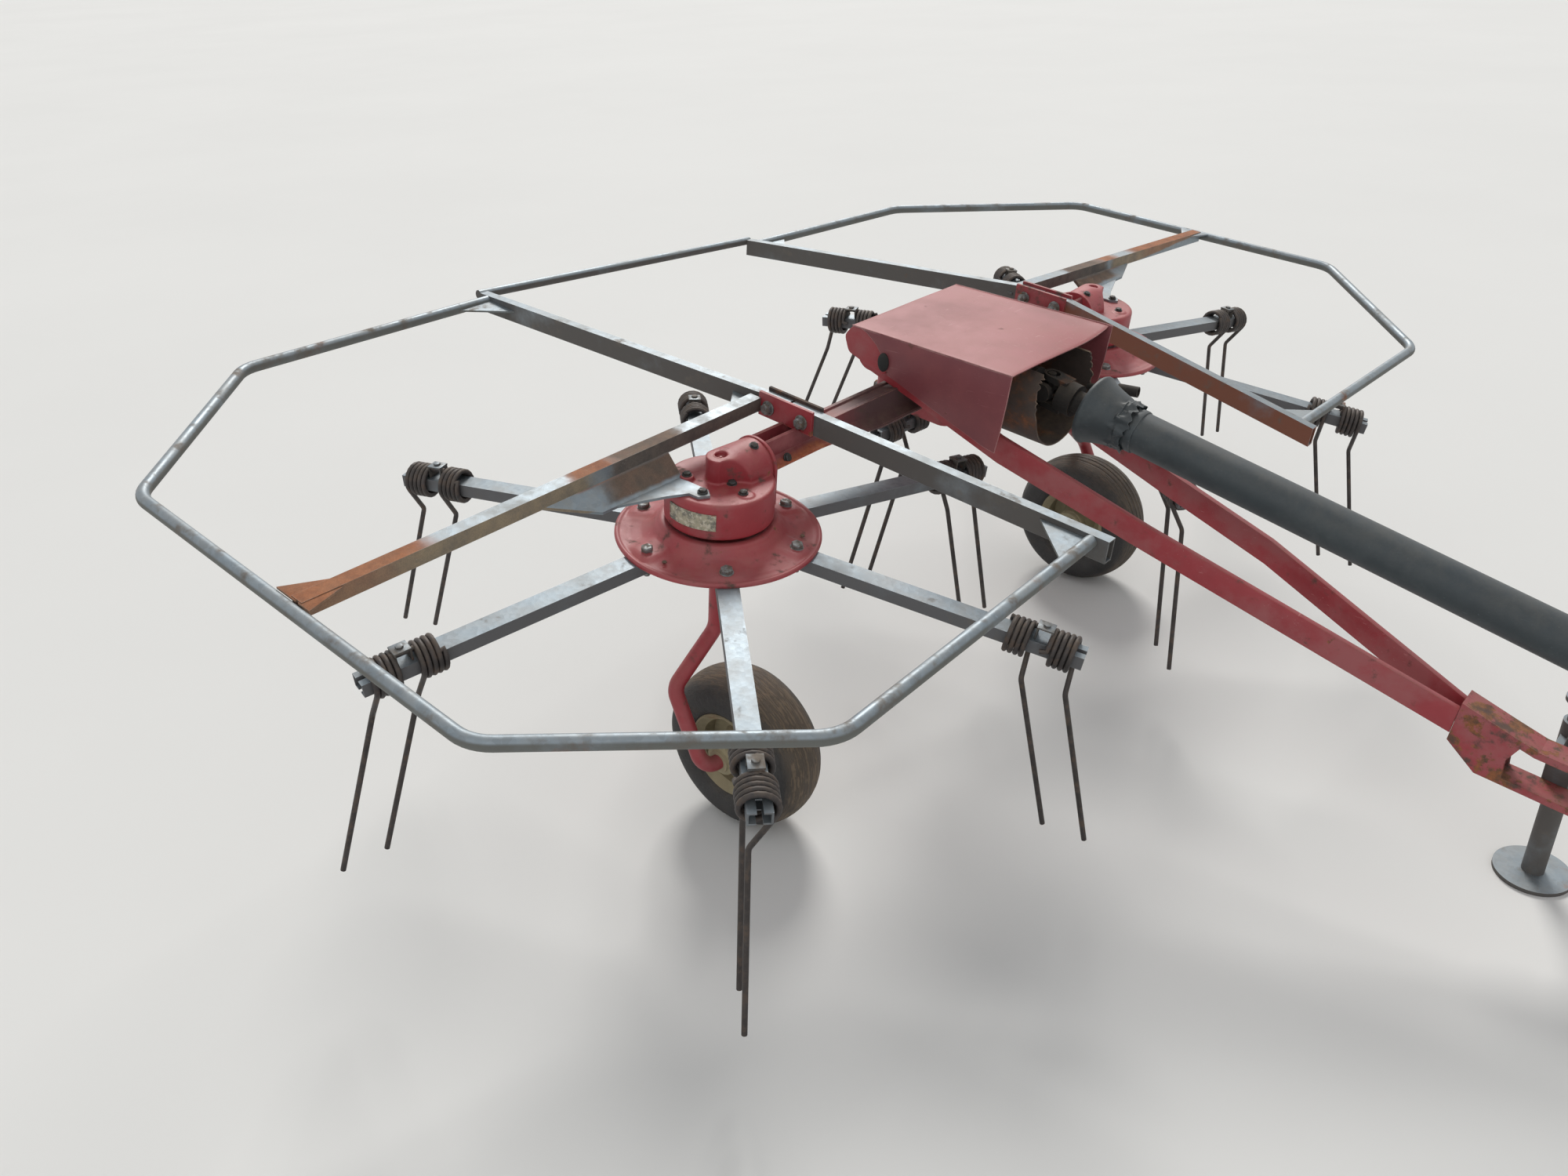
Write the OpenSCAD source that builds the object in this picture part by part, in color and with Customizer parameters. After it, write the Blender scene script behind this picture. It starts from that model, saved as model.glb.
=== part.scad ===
// Two-rotor trailed hay tedder, at its real size in millimetres.
// X points forward, Y to the left, Z up. The floor is Z = 0.
// The machine's own frame has its origin between the two rotors, in the plane
// of their dished discs, and leans nose down over the wheels.

/* [Stance] */
// Nose-down lean of the machine over its wheels, degrees
lean = 7; // [5:0.5:9]
// Distance between the two rotor axes
rotor_spacing = 1280; // [1240:10:1320]

/* [Rotor disc] */
// Outer diameter of the dished disc
disc_d = 368; // [340:2:400]
// Thickness of the pressed disc
disc_t = 4; // [3:0.5:6]
// Height of the raised collar round the gear head
collar_h = 26; // [18:1:32]
// Diameter of the rotor hub under the disc
hub_d = 110; // [96:2:130]
// Radius of the clamp plate under the arms
clamp_r = 126; // [110:2:140]
// Diameter of the spigot that turns inside the gear head
spigot_d = 76; // [66:1:84]
// Number of tine arms on each rotor
arm_count = 6; // [5:1:7]
// Angle of the first arm of the right rotor, degrees
right_phase = 19; // [15:1:23]
// Angle of the first arm of the left rotor, mirrored, degrees
left_phase = 40.5; // [36:0.5:45]

/* [Tine arms] */
// Width of the rectangular arm tube
arm_w = 38; // [34:1:42]
// Height of the rectangular arm tube
arm_h = 24; // [20:1:26]
// Wall of the arm tube
arm_wall = 3; // [2:0.5:4]
// Radius at which each arm starts
arm_r0 = 84; // [78:2:100]
// Radius of the middle of each double tine
tine_r = 598; // [570:2:620]
// Downward slope of the arms, degrees
arm_droop = 5.5; // [4:0.5:7]
// Depth of the slot sawn into each open arm end
arm_slot = 26; // [15:1:40]

/* [Spring tines] */
// Diameter of the tine wire
wire_d = 9.5; // [8:0.5:10]
// Inner diameter of the coils
coil_id = 48; // [48:1:52]
// Turns in each coil
coil_turns = 5; // [4:1:6]
// Gap between the two coils, where the clamp sits
coil_gap = 30; // [26:1:36]
// Height from the coil axis down to the tine tips
tine_drop = 360; // [330:5:400]
// Outward flare of the tine legs, degrees
tine_flare = 22; // [18:1:24]
// Depth of the knee below the coil axis
knee_drop = 74; // [60:2:90]
// How far the knee lies behind the coil axis
knee_trail = 12; // [6:1:24]

/* [Gear heads] */
// Diameter of the round gear head
head_d = 195; // [188:1:204]
// Height of the underside of the gear head above the disc plane
head_z = 34; // [34:1:42]
// Height of the round gear head
head_h = 66; // [56:1:76]
// Width of the raised bevel housing on the head
hump_w = 126; // [110:2:140]
// Height of the raised bevel housing above the drum
hump_h = 44; // [36:1:52]
// Diameter of the filler plug
plug_d = 30; // [24:1:36]

/* [Cross beam] */
// Height of the beam section near the heads
beam_h = 76; // [66:2:84]
// Front-to-rear width of the beam section
beam_w = 84; // [70:2:96]
// Plate thickness of the beam
beam_wall = 6; // [5:0.5:8]
// Height of the beam where it meets the gearbox
beam_root_h = 128; // [110:2:140]
// Height of the beam underside above the disc plane
beam_z = 58; // [52:1:66]

/* [Gearbox] */
// Length of the central gearbox, front to rear
box_l = 190; // [170:2:210]
// Width of the central gearbox
box_w = 170; // [150:2:190]
// Height of the central gearbox
box_h = 168; // [150:2:180]
// Diameter of the input bearing flange
flange_d = 128; // [110:2:136]

/* [Guard] */
// Sideways place of the guard rails
rail_y = 436; // [420:2:450]
// Height of the guard rails
rail_h = 40; // [36:1:44]
// Thickness of the guard rails, side to side
rail_w = 20; // [18:1:24]
// Wall of the guard rails
rail_wall = 2.5; // [2:0.5:3]
// Rear reach of the guard rails from the rotor axes
rail_rear = 926; // [880:2:960]
// Front reach of the guard rails from the rotor axes
rail_front = 640; // [600:2:680]
// Diameter of the guard hoop tube
hoop_d = 22; // [20:1:25]
// Bend radius of the guard hoop
hoop_bend = 70; // [50:5:80]
// Diameter of the rear tie tube
tie_d = 20; // [18:1:22]
// Width of the outrigger bars
outrigger_w = 26; // [22:1:30]
// Height of the outrigger bars
outrigger_h = 26; // [22:1:30]
// Place of the outrigger bars behind the rotor axes
outrigger_x = 91.5; // [86:0.5:94]
// Height of the outrigger bars' inner ends above the disc plane
outrigger_z = 156; // [150:1:160]

/* [Wheels] */
// Diameter of the tyres
tyre_d = 330; // [310:5:350]
// Width of the tyres
tyre_w = 128; // [116:2:132]
// Diameter of the rims
rim_d = 160; // [150:2:176]
// Distance of the wheel axles below the disc plane
axle_down = 447; // [430:1:470]
// Distance of the wheel axles ahead of the rotor axes
axle_fwd = 86; // [60:2:100]
// Diameter of the wheel leg bar
leg_d = 30; // [27:1:32]
// Diameter of the stub axle
axle_d = 25; // [22:1:26]
// Running fit of rotating bores, per side
running_fit = 0.1; // [0.05:0.01:0.2]

/* [Drawbar] */
// Depth of the drawbar arms
bar_h = 66; // [58:1:74]
// Plate thickness of the drawbar arms
bar_t = 12; // [10:1:14]
// Place of the front ends of the drawbar arms
bar_front = 1128; // [1100:2:1150]
// Place of the rear pivot of the drawbar arms
bar_rear = -44; // [-60:2:-30]
// Space between the middle of a drawbar arm and the side of the hood
bar_inset = 14; // [12:1:20]
// Half distance between the arm centres at the hitch
bar_close = 19; // [17:1:23]
// Diameter of the hitch pin bore
hitch_bore = 26; // [22:1:30]
// Gap of the hitch jaw
jaw_gap = 62; // [54:1:70]
// Thickness of the hitch jaw plates
jaw_t = 13; // [10:1:16]
// Width of the hitch jaw plates
jaw_w = 52; // [48:1:60]
// Place of the hitch pin
hitch_x = 1372; // [1350:2:1400]

/* [Hood] */
// Width of the hood at the rear
hood_w = 352; // [340:2:370]
// Place of the rear edge of the hood
hood_rear = -92; // [-104:2:-84]
// Place of the front edge of the hood
hood_front = 268; // [250:2:286]
// Height of the rear edge of the hood above the disc plane
hood_z = 236; // [226:1:246]
// Thickness of the hood sheet
hood_t = 3; // [2:0.5:4]

/* [Drive shaft] */
// Height of the gearbox input above the disc plane
input_z = 166; // [156:1:172]
// Downward slope of the shaft from the gearbox, degrees
shaft_slope = 6.2; // [4:0.1:8]
// Place of the rear universal joint
joint_x = 262; // [250:2:280]
// Place of the front universal joint
joint_front_x = 1440; // [1400:5:1500]
// Outer diameter of the guard tube
guard_d = 78; // [70:1:82]
// Wall of the guard tube
guard_wall = 4; // [3:0.5:5]
// Outer diameter of the guard cones
cone_d = 148; // [136:2:156]
// Diameter of the drive shaft inside the guard
shaft_d = 44; // [36:1:48]
// Bore of the front yoke
yoke_bore = 35; // [30:1:38]
// Outer diameter of the round shield over the rear joint
bell_d = 208; // [200:2:220]
// Length of the round shield
bell_l = 186; // [170:2:200]
// Wall of the round shield
bell_t = 3; // [2.5:0.5:4]

/* [Parking stand] */
// Place of the stand along the drawbar
stand_x = 1292; // [1280:2:1300]
// Sideways place of the stand
stand_y = 120; // [112:1:130]
// Diameter of the stand tube
stand_d = 38; // [34:1:42]
// Height of the stand sleeve
sleeve_h = 84; // [70:2:100]
// Diameter of the round stand foot
foot_d = 130; // [110:5:150]

/* [Hidden] */
$fn = 48;

PAINT = "#9a3038";
RUST = "#8a4a2a";
ZINC = "#8f989c";
STEEL_DARK = "#3a342f";
RUBBER = "#33302d";
PLASTIC = "#3c464a";

rotor_y = rotor_spacing / 2;
axle_drop = axle_down * cos(lean) + axle_fwd * sin(lean);
rotor_z = tyre_d / 2 + axle_drop;

seat = 0.3;

// Slopes of the guard rails, one row a side: rear droop, front droop, degrees
RIGHT = 0;
LEFT = 1;
RAIL_DROOP = [[3.2, 0.2], [7.3, 9.4]];
// Corners of the bent hoops, one list a side: x, y outward from the middle, z
HOOP = [
    [[-884, 1029, 128], [-543, 1392, 130], [314, 1400, 146], [632, 1088, 160]],
    [[-850, 990, 62], [-470, 1392, 88], [284, 1400, 100], [632, 1048, 74]]
];
// Side view of the drawbar arms, one list a side: x, height of the top edge
BAR_TOP = [
    [[-44, 216], [60, 180], [247, 101], [558, 19], [1128, -115]],
    [[-44, 216], [60, 180], [247, 101], [503, 44], [729, 2], [1128, -115]]
];
rail_joint_x = -20;
bracket_l = 128;
rail_z = beam_z + beam_h + seat + rail_h / 2;

// The tie tube is the rearmost piece and the front yoke the foremost one
tie_x = -rail_rear - tie_d / 2 - seat - 0.1;
tie_lift = 13;
tie_low_z = rail_z + tie_lift
    - (rail_rear + rail_joint_x - bracket_l / 2) * tan(RAIL_DROOP[LEFT][0]);
yoke_up = 62;
yoke_end = joint_front_x + yoke_up * cos(shaft_slope);
yoke_r = 34;
x_rear = tie_x * cos(lean) + tie_low_z * sin(lean) - tie_d / 2;
x_front = yoke_end * cos(lean)
    + (input_z - (yoke_end - joint_x) * tan(shaft_slope)) * sin(lean)
    + yoke_r * sin(shaft_slope + lean);
shift_x = -(x_rear + x_front) / 2;

hoop_r = hoop_d / 2;
plate_t = 5;
bracket_t = 6;
input_d = 35;
bend_in = 0.5;
bend_step = 0.1;

function unit(v) = v / norm(v);
function side_y(side) = side == RIGHT ? -1 : 1;

module in_machine() {
    translate([shift_x, 0, rotor_z]) rotate([0, lean, 0]) children();
}

// Children are drawn on the right, and mirrored for the left
module on_side(side) {
    if (side == LEFT) mirror([0, 1, 0]) children();
    else children();
}

module rod(a, b, d) {
    z = unit(b - a);
    x = unit(abs(z[2]) > 0.9 ? cross([0, 1, 0], z) : cross([0, 0, 1], z));
    y = cross(z, x);
    multmatrix([
        [x[0], y[0], z[0], a[0]],
        [x[1], y[1], z[1], a[1]],
        [x[2], y[2], z[2], a[2]],
        [0, 0, 0, 1]
    ]) cylinder(h = norm(b - a), d = d);
}

function turn(a, b, c) = acos(max(-1, min(1, unit(b - a) * unit(c - b))));
function trim(a, b, c, r) = r * tan(turn(a, b, c) / 2);

// One bend of a round bar at b, on the way from a to c
module elbow(a, b, c, d, r) {
    u = unit(b - a);
    v = unit(c - b);
    n = unit(v - (v * u) * u);
    w = cross(-n, u);
    p = b - trim(a, b, c, r) * u + r * n;
    multmatrix([
        [-n[0], u[0], w[0], p[0]],
        [-n[1], u[1], w[1], p[1]],
        [-n[2], u[2], w[2], p[2]],
        [0, 0, 0, 1]
    ]) rotate_extrude(angle = turn(a, b, c)) translate([r, 0]) circle(d = d);
}

// A round bar through a list of points, with round bends at the inner ones.
// The straight lengths are a hair thinner and run a little into the bends.
module bent_bar(pts, d, r) {
    last = len(pts) - 1;
    for (i = [0 : last - 1]) {
        u = unit(pts[i + 1] - pts[i]);
        from = i == 0 ? 0 : trim(pts[i - 1], pts[i], pts[i + 1], r) - bend_in;
        to = i == last - 1 ? 0
            : trim(pts[i], pts[i + 1], pts[i + 2], r) - bend_in;
        rod(pts[i] + from * u, pts[i + 1] - to * u, d - bend_step);
    }
    for (i = [1 : last - 1]) elbow(pts[i - 1], pts[i], pts[i + 1], d, r);
}

module rounded_plate(size, r, h) {
    linear_extrude(h) hull()
        for (x = [r, size[0] - r], y = [r, size[1] - r])
            translate([x, y]) circle(r);
}

// Rotors

disc_r = disc_d / 2;
collar_r = head_d / 2 + 8;
bore_r = leg_d / 2 + 6;
ceiling_z = head_z + 34;
web_z = head_z - 22;
bead = 7;

// The outer flange slopes like the arms, which seat against its underside
function flange_z(r) = -(r - 150) * tan(arm_droop);
under_arm = disc_t + arm_h / cos(arm_droop) + 2 * seat;

module disc_profile() {
    hub_r = hub_d / 2;
    spigot_r = spigot_d / 2;
    wall_r = collar_r + disc_t;
    low = web_z - disc_t;
    polygon([
        [bore_r, flange_z(bore_r) - under_arm - 14],
        [hub_r, flange_z(hub_r) - under_arm - 14],
        [hub_r + 8, flange_z(hub_r + 8) - under_arm - 7],
        [clamp_r, flange_z(clamp_r) - under_arm - 7],
        [clamp_r, flange_z(clamp_r) - under_arm],
        [hub_r, flange_z(hub_r) - under_arm],
        [hub_r, low], [wall_r, low], [wall_r, collar_h - 6],
        [wall_r + 5, collar_h - 8], [wall_r + 12, 6 - disc_t],
        [wall_r + 22, flange_z(wall_r + 22) - disc_t],
        [disc_r, flange_z(disc_r) - disc_t],
        [disc_r + 1, flange_z(disc_r)],
        [disc_r - 1, flange_z(disc_r) + bead - disc_t],
        [disc_r - bead, flange_z(disc_r) + bead - disc_t],
        [disc_r - bead - 3, flange_z(disc_r - bead - 3)],
        [wall_r + 24, flange_z(wall_r + 24)], [wall_r + 15, 6],
        [wall_r + 8, collar_h - 3], [wall_r + 1, collar_h],
        [collar_r, collar_h - 4], [collar_r, web_z], [spigot_r, web_z],
        [spigot_r, ceiling_z - 8], [bore_r, ceiling_z - 8]
    ]);
}

module disc(side) {
    color(PAINT) in_machine() on_side(side) translate([0, -rotor_y, 0])
        rotate_extrude($fn = 96) disc_profile();
}

arm_root_z = flange_z(arm_r0) - disc_t - seat - arm_h / 2 / cos(arm_droop);
arm_l = tine_r + coil_gap / 2 + coil_turns * wire_d + 12 - arm_r0;
coil_r = coil_id / 2 + wire_d / 2;

module on_arms(phase) {
    for (i = [0 : arm_count - 1])
        rotate([0, 0, phase + i * 360 / arm_count])
            translate([arm_r0, 0, arm_root_z]) rotate([0, arm_droop, 0])
                children();
}

module arm() {
    difference() {
        translate([0, -arm_w / 2, -arm_h / 2]) cube([arm_l, arm_w, arm_h]);
        translate([-1, arm_wall - arm_w / 2, arm_wall - arm_h / 2])
            cube([arm_l + 2, arm_w - 2 * arm_wall, arm_h - 2 * arm_wall]);
        translate([arm_l - arm_slot, -5, -arm_h])
            cube([arm_slot + 1, 10, 2 * arm_h]);
    }
}

module arms(side) {
    phase = side == RIGHT ? right_phase : left_phase;
    color(ZINC) in_machine() on_side(side) translate([0, -rotor_y, 0])
        on_arms(phase) arm();
}

// One coil as a ribbed sleeve: a rib for each turn, starting at x = 0
module coil() {
    r = wire_d / 2;
    groove = 0.28 * wire_d;
    edge = [for (i = [0 : coil_turns - 1]) each [
        [groove, i * wire_d + (i == 0 ? 0 : 0.01)],
        [0, i * wire_d + 0.3 * wire_d], [0, i * wire_d + 0.7 * wire_d]
    ]];
    last = [groove, coil_turns * wire_d];
    out = [for (p = concat(edge, [last])) [coil_r + r - p[0], p[1]]];
    in = [for (p = concat(edge, [last])) [coil_r - r + p[0], p[1]]];
    n = len(out);
    rotate([90, 0, 90]) rotate_extrude($fn = 32)
        polygon(concat(out, [for (i = [n - 1 : -1 : 0]) in[i]]));
}

// The leg leaves the end turn along its tangent, kneels and runs down
knee = [-knee_trail, -knee_drop];
knee_turn = atan2(knee[1], knee[0]) + acos(coil_r / norm(knee));
leg_off = coil_r * [cos(knee_turn), sin(knee_turn)];

module tine_leg(x) {
    fall = tine_drop - knee_drop;
    bent_bar([
        [x, leg_off[0], leg_off[1]], [x + 6, knee[0], knee[1]],
        [x + 6 + fall * tan(tine_flare), knee[0] - 4, -tine_drop]
    ], wire_d, 20, $fn = 16);
}

module double_tine() {
    coil_l = coil_turns * wire_d;
    for (s = [0, 1]) mirror([s, 0, 0])
        translate([coil_gap / 2, 0, 0]) coil();
    tine_leg(coil_gap / 2 + coil_l - wire_d / 2);
    tine_leg(-coil_gap / 2 - wire_d / 2);
    // The clamp holds the wire bridge between the coils against the arm
    clamp_l = coil_gap + 2;
    translate([-clamp_l / 2, -arm_w / 2 + 6, arm_h / 2 + seat])
        cube([clamp_l, arm_w - 12, coil_r + wire_d / 2 - arm_h / 2 + 2]);
}

module tines(side) {
    phase = side == RIGHT ? right_phase : left_phase;
    color(STEEL_DARK) in_machine() on_side(side) translate([0, -rotor_y, 0])
        on_arms(phase) translate([tine_r - arm_r0, 0, 0]) double_tine();
}

// Gear heads, beams and gearbox

neck_l = 122;
neck_y = -rotor_y + neck_l + seat;

module hump_plan(grow) {
    hull() {
        circle(d = hump_w * 0.62 + 2 * grow);
        translate([0, neck_l - hump_w / 2]) circle(d = hump_w + 2 * grow);
    }
}

module head(side) {
    top = head_z + head_h;
    color(PAINT) in_machine() on_side(side) translate([0, -rotor_y, 0])
        difference() {
            union() {
                rotate_extrude($fn = 72) polygon([
                    [0, head_z], [head_d / 2 - 3, head_z],
                    [head_d / 2, head_z + 4], [head_d / 2, top - 8],
                    [head_d / 2 - 3, top - 2], [head_d / 2 - 9, top],
                    [0, top]
                ]);
                translate([0, 0, top - 1]) linear_extrude(hump_h - 5)
                    hump_plan(0);
                translate([0, 0, top + hump_h - 6]) linear_extrude(6)
                    hump_plan(-4);
                translate([0, 0, top + hump_h - 1])
                    cylinder(h = 6, d = plug_d + 14);
                // Neck towards the cross beam
                translate([-beam_w / 2 - 4, 60, beam_z - 2])
                    cube([beam_w + 8, neck_l - 60, beam_h + 4]);
            }
            translate([0, 0, head_z - 1])
                cylinder(h = ceiling_z - head_z + 1, r = spigot_d / 2
                    + running_fit);
            translate([0, 0, top + hump_h]) cylinder(h = 8, d = plug_d);
        }
}

module beam(side) {
    top = beam_z + beam_h;
    y_root = -box_w / 2;
    flare_y = -rail_y + 110;
    mid = beam_z + beam_h / 2;
    outline = [
        [neck_y, beam_z], [flare_y, beam_z], [y_root, mid - beam_root_h / 2],
        [y_root, mid + beam_root_h / 2], [flare_y, top], [neck_y, top]
    ];
    color(PAINT) in_machine() on_side(side) difference() {
        translate([-beam_w / 2, 0, 0]) rotate([90, 0, 90])
            linear_extrude(beam_w) polygon(outline);
        translate([-beam_w / 2 + beam_wall, 0, 0]) rotate([90, 0, 90])
            linear_extrude(beam_w - 2 * beam_wall)
                offset(delta = -beam_wall) polygon(outline);
        // The outer end is an open channel, closed at the front by the neck
        translate([-beam_w, neck_y + beam_wall, beam_z + beam_wall])
            cube([beam_w, flare_y - neck_y - 60, beam_h - 2 * beam_wall]);
    }
}

box_z = input_z - box_h / 2 - 34;

module gearbox() {
    color(PAINT) in_machine() difference() {
        union() {
            translate([-box_l / 2, seat - box_w / 2, box_z])
                rounded_plate([box_l, box_w - 2 * seat], 22, box_h);
            translate([box_l / 2 - 1, 0, input_z]) rotate([0, 90, 0])
                cylinder(h = 17, d = flange_d);
            translate([box_l / 2 + 15, 0, input_z]) rotate([0, 90, 0])
                cylinder(h = 24, d = 74);
            translate([-20, 0, box_z + box_h - 1]) cylinder(h = 9, d = 46);
        }
        translate([box_l / 2, 0, input_z]) rotate([0, 90, 0])
            cylinder(h = 50, d = input_d + 2 * running_fit);
    }
}

// Rails, brackets, hoops and outriggers

module rect_tube(l, w, h, wall) {
    difference() {
        translate([0, -w / 2, -h / 2]) cube([l, w, h]);
        translate([-1, wall - w / 2, wall - h / 2])
            cube([l + 2, w - 2 * wall, h - 2 * wall]);
    }
}

// Side outline of a rail: level in its bracket, then down to its end
function rail_outline(half, from, reach, droop) =
    let (held = bracket_l / 2, m = half * tan(droop / 2),
        end = [reach, -(reach - held) * tan(droop)],
        n = [0, half / cos(droop)])
    [
        [from, half], [held + m, half], end + n,
        end - n, [held - m, -half], [from, -half]
    ];

module rail(reach, droop) {
    rotate([90, 0, 0]) difference() {
        translate([0, 0, -rail_w / 2]) linear_extrude(rail_w)
            polygon(rail_outline(rail_h / 2, 3, reach, droop));
        translate([0, 0, rail_wall - rail_w / 2])
            linear_extrude(rail_w - 2 * rail_wall)
                polygon(rail_outline(rail_h / 2 - rail_wall, 2, reach + 1,
                    droop));
    }
}

module rail_rear(side) {
    color(ZINC) in_machine() on_side(side)
        translate([rail_joint_x, -rail_y, rail_z]) rotate([0, 0, 180])
            rail(rail_rear + rail_joint_x, RAIL_DROOP[side][0]);
}

module rail_front(side) {
    color(ZINC) in_machine() on_side(side)
        translate([rail_joint_x, -rail_y, rail_z])
            rail(rail_front - rail_joint_x, RAIL_DROOP[side][1]);
}

// Plates either side of the rail joint, welded to the top of the beam
module bracket(side) {
    h = rail_z + rail_h / 2 + 6 - (beam_z + beam_h);
    color(PAINT) in_machine() on_side(side)
        for (s = [-1, 1])
            translate([rail_joint_x - bracket_l / 2,
                -rail_y + s * (rail_w + 2 * seat + bracket_t) / 2 - bracket_t / 2,
                beam_z + beam_h + seat])
                difference() {
                    cube([bracket_l, bracket_t, h]);
                    for (x = [24, bracket_l - 24])
                        translate([x, -1, h - 6 - rail_h / 2])
                            rotate([-90, 0, 0]) cylinder(h = 8, d = 13);
                }
}

function rail_end(side, x) =
    let (d = RAIL_DROOP[side][x < 0 ? 0 : 1])
    [x, -rail_y, rail_z - (abs(x - rail_joint_x) - bracket_l / 2) * tan(d)];

// Where a hoop's bar starts beside the rail at p, on its way to corner c.
// The edge of its slanting end is what touches the rail.
function hoop_start(p, c) =
    let (a = p + [0, -rail_w / 2 - seat, rail_h / 2 - hoop_r], v = c - a)
    a - [0, hoop_r * norm([v[0], v[2]]) / norm(v), 0];

module hoop(side) {
    bends = [for (c = HOOP[side]) [c[0], -c[1], c[2]]];
    pts = concat(
        [hoop_start(rail_end(side, -rail_rear + 26), bends[0])],
        bends,
        [hoop_start(rail_end(side, rail_front - 30), bends[3])]
    );
    gusset_l = 92;
    color(ZINC) in_machine() on_side(side) {
        bent_bar(pts, hoop_d, hoop_bend);
        // Flat gussets in the corners at the rails
        for (e = [[pts[0], pts[1], 1], [pts[5], pts[4], -1]]) {
            dir = unit(e[1] - e[0]);
            translate([0, 0, e[0][2] - 2]) linear_extrude(4) polygon([
                [e[0][0], e[0][1]],
                [e[0][0] + e[2] * gusset_l, e[0][1]],
                [e[0][0] + gusset_l * dir[0], e[0][1] + gusset_l * dir[1]]
            ]);
        }
    }
}

// The hoop's place where the outrigger meets it, between its middle corners
function hoop_at(side) =
    let (p = HOOP[side][1], q = HOOP[side][2],
        t = (-outrigger_x - p[0]) / (q[0] - p[0]))
    p + t * (q - p);

// Leaning brace from the outrigger down to its foot on the gear head
brace_in = 52;
brace_out = 228;
brace_tip = 320;
foot_x = -47;
lug_y = 62;

module brace_web(corners) {
    hull() for (p = corners) translate(p) cube(plate_t, center = true);
}

module outrigger(side) {
    plate_y = -rail_y - rail_w / 2 - bracket_t - 2 * seat;
    meet = hoop_at(side);
    outer = -meet[1] + hoop_r + seat;
    slope = atan((outrigger_z - meet[2]) / (plate_y - outer));
    inner = plate_y - outrigger_h / 2 * sin(slope);
    flange_z = head_z + head_h + seat;
    // Places of the brace under the tube and on the foot
    function under(y) = [
        -outrigger_x + outrigger_w / 2 - plate_t / 2 - 1, y, outrigger_z
        - outrigger_h / 2 / cos(slope) - (plate_y - y) * tan(slope)
    ];
    function on_foot(y) = [foot_x, y, flange_z + plate_t / 2];
    color(ZINC) in_machine() on_side(side) {
        translate([-outrigger_x, inner, outrigger_z]) rotate([0, 0, -90])
            rotate([0, slope, 0])
                rect_tube((inner - outer) / cos(slope), outrigger_w,
                    outrigger_h, 3);
        // Brace that leans from the tube to its foot and lug on the gear head
        brace_web([
            under(-rotor_y - brace_in), under(-rotor_y - brace_tip),
            on_foot(-rotor_y - brace_out)
        ]);
        brace_web([
            under(-rotor_y - brace_in), on_foot(-rotor_y - brace_in),
            on_foot(-rotor_y - brace_out)
        ]);
        translate([0, -rotor_y, flange_z]) linear_extrude(plate_t) polygon([
            [foot_x - 7, -brace_out], [foot_x - 7, -brace_in],
            [-32, -lug_y + 8], [20, -lug_y + 12], [36, -lug_y],
            [26, -lug_y - 18], [6, -lug_y - 20], [-12, -lug_y - 54],
            [foot_x + 1, 26 - brace_out], [foot_x - 5, -brace_out]
        ]);
    }
}

tie_over = 8;

module tie_tube() {
    a = rail_end(RIGHT, -rail_rear);
    b = rail_end(LEFT, -rail_rear);
    color(ZINC) in_machine()
        rod([tie_x, -rail_y - tie_over, a[2] + tie_lift],
            [tie_x, rail_y + tie_over, b[2] + tie_lift], tie_d);
}

// Drawbar and hitch

bar_spread = hood_w / 2 - bar_inset;
bar_yaw = atan((bar_spread - bar_close) / (bar_front - bar_rear));

bar_bore = 17;

function beam_top(y) = beam_z + beam_h / 2 + beam_root_h / 2
    - (y - box_w / 2) * (beam_root_h - beam_h) / 2
    / (rail_y - 110 - box_w / 2);

module drawbar(side) {
    pts = BAR_TOP[side];
    stretch = 1 / cos(bar_yaw);
    top = [for (p = pts) [(p[0] - bar_rear) * stretch, p[1]]];
    low = [for (i = [len(pts) - 1 : -1 : 0]) top[i] - [0, bar_h]];
    r = bar_h / 2;
    pivot = top[0] - [0, r];
    end = [for (a = [-110 : -20 : -250]) pivot + r * [cos(a), sin(a)]];
    color(PAINT) in_machine() on_side(side)
        translate([bar_rear, -bar_spread, 0]) rotate([0, 0, bar_yaw])
            rotate([90, 0, 0]) translate([0, 0, -bar_t / 2])
                linear_extrude(bar_t) difference() {
                    polygon(concat(top, low, end));
                    translate(pivot) circle(d = bar_bore);
                    // Notch where the bar sits on the cross beam
                    translate([-bar_rear - beam_w / 2 - 2, 0])
                        square([beam_w + 3.5, beam_top(bar_close + 124) + seat]);
                }
}

jaw_top_z = -143;
cheek_t = 10;
hitch_root_z = -101;
hitch_knee = 84;
hitch_knee_z = -120;
hitch_bend = 132;
hitch_lip = 106;
hitch_lip_z = -134;
hitch_throat = 92;
hitch_throat_z = -172;
hitch_heel = 58;
hitch_heel_z = -178;

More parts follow.
